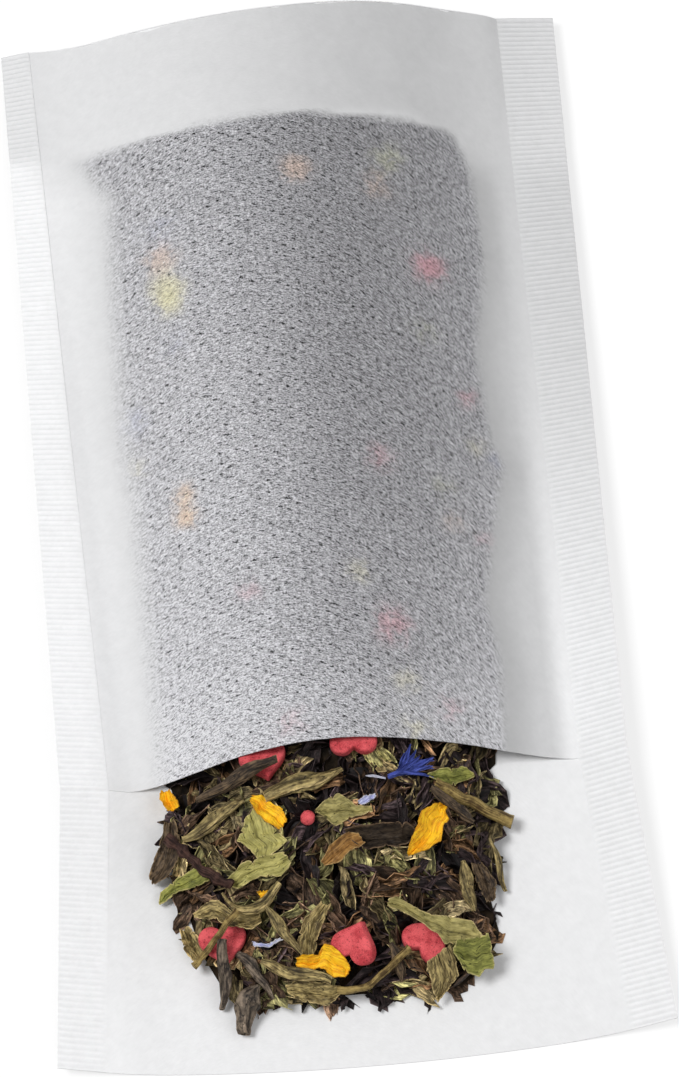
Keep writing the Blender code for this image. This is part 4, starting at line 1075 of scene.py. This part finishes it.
def blade(node, one_side, other_side, cup, seed, ragged=0.14, notches=1, fold=0.3, crumple=0.24):
    """A flat leaf or petal, as a grid between two sides that run from its stalk to its tip.
    The sides are chipped at random and torn open in narrow notches. The blade is creased down
    the middle, cupped as the square of the way out, crumpled by waves of two sizes, and has a
    fine ripple: a sine along it that slants away from the middle."""
    rng = np.random.default_rng(seed)
    t = np.linspace(0, 1, 52)[:, None]
    v = np.linspace(-1, 1, 21)[None, :]
    one, other = side_line(one_side, len(t)), side_line(other_side, len(t))
    middle = (one + other) / 2
    half = np.linalg.norm(other - one, axis=1)[:, None] / 2
    reach = []
    for _ in range(2):
        knots = np.sort(rng.uniform(0, 1, 14))
        chips = np.interp(t, knots, rng.uniform(-1, 1, len(knots))) * ragged * MM
        cuts = [1 - rng.uniform(0.2, 0.5) * np.clip(1 - np.abs(t - at) / 0.025, 0, 1)
                for at in rng.uniform(0.2, 0.8, notches)]
        reach.append((half + np.clip(chips, -half / 4, half / 4)) * np.prod(cuts, axis=0))
    reach = np.where(v < 0, reach[0], reach[1])
    out = reach * v
    aside = unit(other - one)
    ahead = unit(np.gradient(middle, axis=0))
    breaks = np.interp(v, np.linspace(-1, 1, 9), rng.uniform(-1, 1, 9)) * ragged * 1.5 * MM
    push = breaks * smooth((t - 0.75) / 0.25) - breaks[:, ::-1] * smooth((0.2 - t) / 0.2)
    xy = middle[:, None] + aside[:, None] * out[..., None] + ahead[:, None] * push[..., None]
    length = np.linalg.norm(np.diff(middle, axis=0), axis=1).sum()
    uu, vv = np.broadcast_arrays(t * length, v)
    ripple = np.sin(2 * math.pi * (uu / (1.1 * MM) - np.abs(vv) * 0.8)) * smooth(np.abs(vv) / 0.3)
    height = (cup * vv ** 2 - fold * np.exp(-(vv / 0.14) ** 2)
              + crumple * waviness(uu, out, 3.4 * MM, seed + 3)
              + crumple * 0.45 * waviness(uu, out, 1.3 * MM, seed + 5) + 0.05 * ripple)
    points = np.concatenate([xy, (height * MM)[..., None]], -1)
    place = np.stack([uu, out, np.full(out.shape, rng.uniform(0, 0.1))], -1)
    to_edge = np.minimum(reach * (1 - np.abs(v)), length / 2 - np.abs(uu - length / 2))
    rim = np.clip(1 - to_edge / (0.32 * MM), 0, 1)
    # The last value darkens the middle crease: painted shade
    return finished(node, points, BLADE_THICK, place, rim, np.exp(-(vv / 0.07) ** 2) * 0.6)


def finished(node, points, thickness, place, rim, painted_hollow_shade):
    """Close a leaf's grid, settle it, and give the mesh with its point values."""
    shape = wall(*settle(node, *thicken(points, thickness)))
    return shape, on_both_faces({"leaf place": place, "rim": rim, "painted_hollow_shade": painted_hollow_shade})


def rolled(node, path, thick, seed):
    """A rolled leaf: a strip wound into a flattened spiral across its width, with a radius
    that grows along the strip and runs up and down in straight-sided pleats (a triangle wave
    of the turn), narrowed to both ends and twisted along its length."""
    rng = np.random.default_rng(seed)
    t, line, side = spine(path, 56)
    v = np.linspace(0, 1, 60)[None, :]
    first, last = rng.uniform(0.2, 0.6, 2)
    swell = ((first + (1 - first) * smooth(t / 0.4)) * (last + (1 - last) * smooth((1 - t) / 0.4))
             * (1 + 0.08 * waviness(t * 4, t * 0, 2.5, seed + 1)))[:, None]
    wound = 2 * math.pi * 1.35 * v
    uneven = 0.5 * waviness(t[:, None] * 3, v * 2, 2.5, seed + 6)
    pleat = np.abs((0.72 * wound + uneven + seed) % 2 - 1)
    radius = thick * MM / 2 * swell * (0.60 + 0.40 * v) * (0.60 + 0.48 * pleat)
    radius = radius * (1 + 0.06 * waviness(t[:, None] * 9, v * 12, 2.0, seed + 2))
    twist = rng.uniform(0.5, 1.5) * rng.choice([-1, 1])
    turn = (twist * (t - 0.5) + rng.uniform(-0.3, 0.3))[:, None]
    a, b = radius * np.cos(wound), radius * np.sin(wound) * 0.62
    wide, high = a * np.cos(turn) - b * np.sin(turn), a * np.sin(turn) + b * np.cos(turn)
    kink = 0.3 * MM * waviness(t * 3, t * 0, 3.0, seed + 4)
    xy = line[:, None, :] + side[:, None, :] * (wide + kink[:, None])[..., None]
    points = np.concatenate([xy, high[..., None]], -1)
    uu, vv = np.broadcast_arrays(t[:, None], v)
    place = np.stack([uu * 10 * MM, vv * 6 * MM, np.full(uu.shape, seed * MM)], -1)
    rim = np.maximum(smooth((vv - 0.95) / 0.05), smooth((np.abs(uu - 0.5) - 0.475) / 0.025))
    # The last value darkens the pleats where they fold in: painted shade
    return finished(node, points, ROLL_THICK, place, rim, (1 - pleat) ** 3)


def stalk_rings(line, side, thick, seed, knots, sides=14):
    """Rings round a line: nearly round, with shallow grooves, uneven and thicker at the ends."""
    t = np.linspace(0, 1, len(line))
    angle = np.linspace(0, 2 * math.pi, sides, endpoint=False)[None, :]
    uneven = knots * waviness(t * 9, t * 0, 2.0, seed)
    radius = thick * MM / 2 * (1 + 0.18 * (2 * t - 1) ** 4 + uneven)
    radius = radius[:, None] * (1 + 0.10 * np.cos(3 * angle + seed))
    wide, high = radius * np.cos(angle), radius * np.sin(angle)
    sway = knots * 1.6 * MM * waviness(t * 6, t * 0, 3.0, seed + 2)
    xy = line[:, None, :] + side[:, None, :] * (wide + sway[:, None])[..., None]
    place = np.stack(np.broadcast_arrays(t[:, None] * 10, angle, seed), -1) * MM
    return np.concatenate([xy, high[..., None]], -1), place


def heart_line(count):
    """A plump heart one unit wide, its point towards -Y: the heart curve, mixed with an oval."""
    t = np.linspace(0, 2 * math.pi, count, endpoint=False)
    heart = np.stack([16 * np.sin(t) ** 3, 13 * np.cos(t) - 5 * np.cos(2 * t)
                      - 2 * np.cos(3 * t) - np.cos(4 * t) + 2.5], -1)
    oval = np.stack([15 * np.sin(t), 13 * np.cos(t)], -1)
    return (heart + (oval - heart) * HEART_ROUNDNESS) / 32


def sugar_heart(node, x, out, turn, heading, tilt):
    """A pressed heart: its outline shrunk by a profile with rounded edges, slightly domed,
    turned about Z and then tilted about a level axis of the given heading."""
    turn, heading, tilt = (math.radians(angle) for angle in (turn, heading, tilt))
    quarter = np.linspace(0, math.pi / 2, 7)
    sine, cosine = np.sin(quarter), np.cos(quarter)
    edge = HEART_EDGE / (HEART_WIDTH / 2)
    share = np.concatenate([[0.02, 0.3, 0.6], 1 - edge * (1 - sine),
                            (1 - edge * (1 - cosine))[1:], [0.6, 0.3, 0.02]])
    dome = 0.12 * MM * np.array([1.0, 0.9, 0.6])
    height = np.concatenate([HEART_THICKNESS + dome, HEART_THICKNESS - HEART_EDGE * (1 - cosine),
                             (HEART_EDGE * (1 - sine))[1:], np.zeros(3)])
    flat = heart_line(96) * HEART_WIDTH * share[:, None, None]
    rough = 0.035 * MM * waviness(flat[..., 0], flat[..., 1], 1.1 * MM, int(abs(x) * 10) + 3)
    spin = np.array([[math.cos(turn), math.sin(turn)], [-math.sin(turn), math.cos(turn)]])
    rings = np.concatenate([flat @ spin, (height[:, None] + rough)[..., None]], -1)
    axis = np.array([math.cos(heading), math.sin(heading), 0])
    rings = (rings * math.cos(tilt) + np.cross(axis, rings) * math.sin(tilt)
             + axis * (rings @ axis)[..., None] * (1 - math.cos(tilt)))
    rings = rings + np.array([x * MM, Y_MOUTH - out * MM, 0])
    lift = places_of(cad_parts[node])[:, 2].min() - rings[..., 2].min()
    return skin(rings + np.array([0, 0, lift]))


def sugar_bead():
    """A small ball, a little uneven."""
    down = np.linspace(0.03, math.pi - 0.03, 22)[:, None]
    turn = np.linspace(0, 2 * math.pi, 32, endpoint=False)
    ball = np.stack(np.broadcast_arrays(
        np.sin(down) * np.cos(turn), np.sin(down) * np.sin(turn), np.cos(down)), -1)
    uneven = waviness(ball[..., 0] * 3, np.cos(down) * 3 + np.sin(turn), 2.5, 8)
    ball = ball * (1.1 * MM * (1 + 0.05 * uneven))[..., None]
    return skin(settle("sugar_bead", ball + np.array([-6.3 * MM, Y_MOUTH - 9.3 * MM, 0]))[0])


# Sugar hearts: node, X and distance from the mouth in mm, and in degrees the turn about Z,
# the heading of the axis that it is tilted about, and the tilt
HEARTS = (
    ("sugar_heart_lip_right", 1.6, -3.4, 180, 0, 0),
    ("sugar_heart_lip_left", -12.2, -1.0, 10, 180, 12),
    ("sugar_heart_left", -20.4, 26.0, 5, 0, 0),
    ("sugar_heart_front", -0.2, 28.2, 150, 300, 33),
    ("sugar_heart_right", 10.2, 28.0, 137, 0, 0))


def build_sugar():
    """Pressed sugar hearts and the bead."""
    finish = pressed_sugar()
    shapes = [(node, sugar_heart(node, *lie)) for node, *lie in HEARTS]
    return [make_piece(node.replace("sugar", "pink"), shape, finish, (node,),
                       crease=80)
            for node, shape in shapes + [("sugar_bead", sugar_bead())]]


# Petals: node, the corners of one side and of the other as (x, distance from the mouth) from
# base to tip, how far the sides cup up, all in mm, and the kind
PETALS = (
    ("yellow_petal_lip", [(-28.2, 0.5), (-28.4, 2.0), (-27.4, 4.2)],
     [(-26.8, 0.6), (-25.9, 2.4), (-25.7, 3.8)], 0.9, "yellow"),
    ("yellow_petal_left", [(-14.3, 4.7), (-12.9, 4.8), (-11.8, 6.1), (-10.0, 7.7), (-9.5, 9.7)],
     [(-14.8, 5.6), (-13.9, 8.0), (-12.7, 9.5), (-10.8, 11.2)], 0.4, "yellow"),
    ("yellow_petal_right", [(8.2, 16.2), (8.6, 14.6), (10.0, 12.0), (10.9, 9.9), (13.2, 8.6),
                            (15.0, 7.9)],
     [(8.5, 16.4), (11.4, 15.4), (13.6, 13.9), (14.1, 11.8), (15.0, 10.7), (14.4, 9.8),
      (15.4, 8.0)], 0.6, "yellow"),
    ("yellow_petal_front", [(-9.8, 30.2), (-8.8, 29.6), (-6.4, 30.0), (-5.4, 28.6), (-4.6, 28.8),
                            (-2.6, 30.4), (-1.9, 31.8)],
     [(-9.7, 31.2), (-8.2, 32.2), (-6.4, 31.6), (-4.4, 33.0), (-2.6, 33.2), (-2.0, 32.6)],
     0.5, "yellow"),
    ("yellow_petal_crumb", [(-14.6, 19.1), (-13.2, 19.0)], [(-14.4, 20.0), (-13.0, 20.1)],
     0.1, "yellow"),
    ("lilac_petal_middle", [(1.5, 8.0), (2.6, 7.0), (4.1, 6.4)],
     [(1.8, 8.5), (3.0, 8.0), (4.2, 6.9)], 0.3, "lilac"),
    ("lilac_petal_left", [(-15.9, 26.4), (-13.6, 26.8), (-11.8, 26.2)],
     [(-15.8, 27.0), (-13.6, 27.4), (-11.6, 26.5)], 0.2, "lilac"),
    ("tan_petal", [(-4.7, 16.4), (-3.4, 14.3), (-0.9, 12.6), (1.2, 12.8)],
     [(-4.2, 17.2), (-2.2, 16.9), (-0.4, 15.5), (1.8, 14.2)], 0.8, "tan"))


def build_petals():
    """Yellow, tan and lilac petals."""
    finishes = {kind: petal(kind + " petal", *colours) for kind, *colours in (
        ("yellow", (1.0, 0.62, 0.022), (0.80, 0.34, 0.010), (0.50, 0.20, 0.015)),
        ("tan", (0.42, 0.23, 0.070), (0.15, 0.070, 0.022), (0.52, 0.34, 0.14)),
        ("lilac", (0.66, 0.68, 0.86), (0.34, 0.36, 0.66), (0.70, 0.68, 0.66)))}
    made = []
    for n, (node, one, other, cup, kind) in enumerate(PETALS):
        shape, values = blade(node, one, other, cup, 40 + n, ragged=0.13, notches=0, fold=0.25,
                              crumple=0.30)
        made.append(make_piece(node + "_fine", shape, finishes[kind], (node,),
                               values))
    return made


def build_cornflower():
    """A cornflower floret: narrow pointed lobes that spread like a fan from one base, each
    swept along a heading that eases to its own, with a half width that swells as a sine.
    The last lobe is the pale base, which points back."""
    blue = petal("cornflower blue", (0.10, 0.14, 0.52), (0.014, 0.020, 0.12), (0.72, 0.72, 0.78),
                 5200.0)
    rng = np.random.default_rng(9)
    count, steps = 18, 24
    t = np.linspace(0, 1, steps)[:, None]
    v = np.linspace(-1, 1, 7)
    number = np.arange(count)[:, None, None]
    tail = number == count - 1
    spread = np.where(tail, 2.75, np.linspace(-0.42, 1.0, count)[:, None, None])
    long = rng.uniform(6.2, 8.6, (count, 1, 1)) - 1.6 * np.abs(spread - 0.1)
    long = np.where(tail, 3.2, long)
    sway = 0.25 * np.sin(5 * t + number * 2.1) * t
    heading = 0.36 + spread * np.where(tail, 1, smooth(t * 1.6)) + sway
    swell = (0.24 + 0.26 * np.sin(math.pi * t ** 1.6)) * (1 - t ** 5)
    half = rng.uniform(0.4, 0.85, (count, 1, 1)) * swell + 0.03
    ahead, aside = np.cos(heading), np.sin(heading)
    x = 6.1 + np.cumsum(ahead, 1) / steps * long - aside * half * v
    y = Y_MOUTH / MM - 3.8 + np.cumsum(aside, 1) / steps * long + ahead * half * v
    lean = rng.uniform(-0.7, 0.7, (count, 1, 1)) * np.sin(2.2 * t + number)
    z = 1.2 * v ** 2 * half + lean + 0.5 * t * (number % 3)
    place = np.stack(np.broadcast_arrays(t * long, half * v, number), -1) * MM
    grids = settle("cornflower_floret", *thicken(np.stack([x, y, z], -1) * MM, LOBE_THICK))
    values = {"leaf place": place, "rim": np.broadcast_to(np.where(tail, 1.6, 0.0), x.shape)}
    return [make_piece("cornflower_fan", wall(*grids), blue, ("cornflower_floret",),
                       on_both_faces(values, count), crease=60)]


# Flat leaves, told as the petals are
LEAVES = (
    ("green_leaf_square", [(-14.2, 7.0), (-12.2, 9.4), (-9.5, 12.5), (-12.6, 14.6)],
     [(-15.6, 7.9), (-16.0, 9.2), (-17.2, 11.6), (-15.4, 13.2), (-14.1, 15.2)], 0.3, "green"),
    ("green_leaf_folded", [(-19.3, 17.3), (-16.6, 15.4), (-13.7, 14.8), (-10.3, 14.6)],
     [(-19.0, 17.9), (-17.4, 18.6), (-14.0, 17.4), (-11.0, 17.8), (-9.3, 16.2)], 0.5, "green"),
    ("green_leaf_centre", [(-5.0, 8.2), (-3.6, 6.9), (-1.4, 5.9), (-0.4, 6.6), (1.2, 8.2),
                           (3.5, 8.5)],
     [(-5.0, 8.6), (-3.7, 9.7), (-2.2, 11.0), (-0.4, 10.2), (1.6, 9.7), (3.4, 9.2)],
     0.5, "middle green"),
    ("green_leaf_mouth", [(12.5, 2.7), (14.5, 1.7), (18.6, 1.0), (19.6, 1.6)],
     [(12.7, 3.3), (14.6, 4.2), (16.6, 4.4), (19.8, 2.6)], 0.4, "dark green"),
    ("green_leaf_front", [(4.7, 23.0), (5.8, 22.6), (9.8, 25.0), (12.2, 25.5), (17.1, 26.2),
                          (18.3, 29.0)],
     [(4.5, 24.2), (6.6, 25.0), (9.4, 26.9), (11.6, 28.6), (12.4, 30.2), (15.2, 30.3),
      (18.0, 29.5)], 0.5, "middle green"),
    ("green_leaf_corner", [(13.8, 30.9), (14.4, 29.9), (17.0, 29.6), (19.2, 29.1)],
     [(13.9, 31.6), (15.2, 33.6), (17.4, 34.3), (18.2, 33.3), (19.8, 33.2)], 0.4, "dark green"),
    ("green_leaf_left_tip", [(-29.7, 17.9), (-29.2, 16.4), (-26.6, 15.0), (-22.4, 13.6)],
     [(-29.4, 18.1), (-26.6, 17.0), (-24.2, 16.8), (-21.6, 16.4)], 0.5, "dark green"),
    ("olive_leaf_front", [(9.6, 32.0), (9.8, 33.4), (10.2, 35.0), (10.8, 37.2)],
     [(13.2, 30.0), (14.0, 31.8), (14.5, 33.8), (11.2, 37.0)], 0.5, "olive"),
    ("olive_leaf_left", [(-26.8, 22.6), (-26.4, 25.4), (-24.6, 28.6)],
     [(-25.6, 22.4), (-24.0, 24.6), (-23.0, 27.2)], 0.9, "olive"),
    ("olive_leaf_heart", [(-24.6, 21.6), (-22.2, 19.6), (-20.6, 19.8), (-18.4, 22.6),
                          (-14.6, 23.2)],
     [(-24.2, 22.4), (-21.6, 22.9), (-19.0, 24.6), (-16.0, 25.6), (-14.4, 24.6)], 0.5, "olive"),
    ("olive_leaf_base", [(-11.6, 33.4), (-9.6, 32.6), (-5.6, 33.4), (-3.2, 34.0)],
     [(-11.4, 34.4), (-9.0, 36.0), (-5.4, 36.6), (-3.6, 35.2)], 0.4, "olive"),
    ("brown_leaf_left", [(-27.8, 6.2), (-28.6, 8.4), (-30.0, 11.8), (-30.8, 14.2)],
     [(-26.4, 6.2), (-25.8, 9.6), (-26.2, 12.6), (-28.2, 14.8), (-30.0, 15.4)], 0.9, "brown"),
    ("brown_leaf_cup", [(-0.9, 12.0), (1.6, 11.4), (5.6, 11.2), (8.4, 11.4), (9.8, 12.6)],
     [(-0.6, 13.0), (2.0, 15.0), (5.2, 14.8), (8.0, 14.8), (9.4, 13.9)], 1.6, "cup"),
    ("brown_leaf_long", [(-5.4, 22.0), (-8.2, 24.4), (-9.4, 27.6), (-8.4, 30.0)],
     [(-4.0, 22.4), (-5.6, 25.4), (-6.6, 28.4), (-7.6, 30.2)], 0.7, "olive"),
    ("brown_leaf_right", [(18.0, 16.6), (18.4, 19.4), (19.6, 22.6)],
     [(19.6, 16.4), (21.4, 19.2), (21.0, 22.2)], 0.6, "brown"))

# Rolled leaves and stalks: node, the line that they follow, thickness and kind
ROLLS = (
    ("rolled_leaf_mouth", [(-12.6, 5.0), (-8.0, 3.9), (-4.0, 3.6), (-0.6, 2.0)], 3.9, "olive"),
    ("rolled_leaf_upper_left", [(-25.4, 9.4), (-21.6, 8.0), (-17.6, 6.2), (-15.6, 5.8)],
     2.9, "olive"),
    ("rolled_leaf_ridge", [(-20.0, 19.6), (-17.6, 22.2), (-14.2, 22.0), (-11.4, 18.9)],
     2.3, "olive"),
    ("rolled_leaf_arm", [(-14.0, 22.4), (-11.4, 26.2), (-8.8, 30.0)], 2.2, "olive"),
    ("rolled_leaf_right_rim", [(21.3, 12.8), (22.2, 16.5), (22.9, 20.4)], 1.2, "olive"),
    ("rolled_leaf_right", [(16.6, 16.4), (17.0, 20.4), (17.4, 24.0)], 2.7, "olive"),
    ("rolled_leaf_base_left", [(-15.0, 30.0), (-10.8, 31.9), (-4.9, 34.2)], 2.2, "olive"),
    ("rolled_leaf_dark_left", [(-22.9, 3.4), (-18.6, 2.6), (-14.0, 1.0), (-10.2, 0.4)],
     2.3, "brown"),
    ("rolled_leaf_dark_lower", [(-18.6, 27.8), (-15.8, 30.7), (-13.6, 34.8)], 2.1, "black"),
    ("rolled_leaf_grey_left", [(-20.3, 26.4), (-20.6, 30.6), (-21.4, 35.4)], 2.7, "black"),
    ("rolled_leaf_grey_base", [(-15.6, 33.0), (-17.6, 35.2), (-18.3, 39.6)], 4.4, "black"),
    ("rolled_leaf_dark_right", [(12.6, 6.6), (16.0, 9.4), (18.6, 11.4)], 2.4, "brown"),
    ("rolled_leaf_dark_front", [(4.8, 28.4), (5.6, 31.2), (5.8, 34.0)], 2.4, "brown"))

STALKS = (
    ("stem_right", [(13.4, 5.3), (18.5, 7.4), (24.9, 9.9)], 1.9, "stalk"),
    ("stem_loop", [(-4.0, 34.6), (0.1, 34.6), (3.6, 32.6), (7.2, 29.8)], 1.0, "stalk"),
    ("stem_left", [(-28.0, 9.4), (-24.5, 12.9), (-22.2, 15.6), (-18.6, 18.6)], 1.3, "twig"),
    ("stem_heart", [(-25.1, 28.9), (-21.6, 26.3), (-18.0, 23.2)], 1.0, "stalk"))


def build_leaves():
    """The larger leaves, flat, half-curled and rolled."""
    finishes = {kind: leaf(name + " leaf", *look) for kind, name, *look in (
        ("green", "green", (0.54, 0.49, 0.170), (0.29, 0.265, 0.080), (0.72, 0.60, 0.27), 0.4),
        ("middle green", "middle green", (0.43, 0.37, 0.140), (0.19, 0.165, 0.055),
         (0.62, 0.50, 0.23), 0.5),
        ("dark green", "dark green", (0.36, 0.36, 0.090), (0.12, 0.130, 0.030),
         (0.60, 0.52, 0.21), 0.5),
        ("olive", "olive", (0.43, 0.335, 0.140), (0.09, 0.062, 0.025), (0.66, 0.50, 0.23)),
        ("brown", "brown", (0.14, 0.095, 0.056), (0.015, 0.009, 0.006), (0.25, 0.17, 0.09)),
        ("cup", "dark", (0.064, 0.046, 0.031), (0.012, 0.008, 0.006), (0.15, 0.095, 0.055), 0.8),
        ("black", "black", (0.22, 0.170, 0.125), (0.022, 0.016, 0.013), (0.26, 0.20, 0.14)))}
    made = []
    for n, (node, one, other, cup, kind) in enumerate(LEAVES):
        shape, values = blade(node, one, other, cup, 60 + 3 * n)
        made.append(make_piece(node + "_fine", shape, finishes[kind], (node,), values,
                               crease=40))
    for n, (node, path, thick, kind) in enumerate(ROLLS):
        shape, values = rolled(node, path, thick, 120 + 3 * n)
        made.append(make_piece(node + "_fine", shape, finishes[kind], (node,), values,
                               crease=35))
    return made


def build_stalks():
    """Leaf stalks and a dark twig."""
    finishes = {"stalk": stalk_finish("leaf stalk", (0.075, 0.046, 0.018), (0.44, 0.32, 0.115)),
                "twig": stalk_finish("dark twig", (0.014, 0.006, 0.005), (0.085, 0.043, 0.033))}
    made = []
    for n, (node, path, thick, kind) in enumerate(STALKS):
        _, line, side = spine(path, 60)
        rings, place = stalk_rings(line, side, thick, 7 + n, 0.30 if kind == "twig" else 0.09)
        shape = skin(settle(node, rings)[0])
        made.append(make_piece(node.replace("stem", "stalk"), shape, finishes[kind],
                               (node,), {"leaf place": place}, crease=60))
    return made


# Surroundings

def build_floor():
    """A plain pale floor just under the bag, which the camera and reflections see as white."""
    size, depth = 2.5, 0.05 * MM
    corners = ((-1, -1), (1, -1), (1, 1), (-1, 1))
    mesh = bpy.data.meshes.new("floor")
    mesh.from_pydata([(x * size, y * size, -depth) for x, y in corners], [], [(0, 1, 2, 3)])
    floor = bpy.data.objects.new("floor", mesh)
    bpy.context.scene.collection.objects.link(floor)
    finish = Finish("pale floor", 0.9, 0.0)
    finish.feed(finish.shader.inputs["Emission Strength"], 1.0)
    glow = finish.scaled((0.72, 0.72, 0.72), finish.seen())
    mesh.materials.append(finish.wear(base_color=(0.34, 0.34, 0.34, 1), emission_color=glow))


def area_light(name, place, size, power):
    """A soft square lamp that faces the middle of the bag."""
    lamp = bpy.data.lights.new(name, "AREA")
    lamp.shape = "SQUARE"
    lamp.size = size
    lamp.energy = power
    holder = bpy.data.objects.new(name, lamp)
    holder.location = place
    x, y, z = place
    holder.rotation_euler = (math.atan2(math.hypot(x, y), z), 0, math.atan2(-y, -x) - math.pi / 2)
    bpy.context.scene.collection.objects.link(holder)


def build_light():
    """Soft studio light from the left, with an even surround that is white where it is seen."""
    area_light("key light", (-0.42, -0.06, 0.86), 0.32, 5.5)
    area_light("fill light", (0.55, -0.35, 0.75), 0.8, 2.1)
    world = bpy.data.worlds.new("studio")
    bpy.context.scene.world = world
    world.use_nodes = True
    studio = Nodes(world.node_tree)
    surround = world.node_tree.nodes["Background"]
    studio.feed(surround.inputs["Color"], (1, 1, 1, 1))
    studio.feed(surround.inputs["Strength"], SURROUND + studio.seen() * (1 - SURROUND))


def build_camera():
    """The photograph's view, from above the flap."""
    data = bpy.data.cameras.new("camera")
    data.sensor_fit = "VERTICAL"
    data.sensor_width = data.sensor_height = 36.0
    data.lens = CAMERA_LENS
    camera = bpy.data.objects.new("camera", data)
    camera.location = CAMERA_PLACE
    camera.rotation_euler = [math.radians(turn) for turn in CAMERA_TURN]
    bpy.context.scene.collection.objects.link(camera)
    bpy.context.scene.camera = camera


def main():
    """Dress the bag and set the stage."""
    bpy.context.scene.view_settings.view_transform = "Standard"
    build_paper()
    build_bed()
    build_loose_leaves(build_sugar() + build_petals() + build_cornflower() + build_leaves()
                       + build_stalks())
    build_floor()
    build_light()
    build_camera()


main()
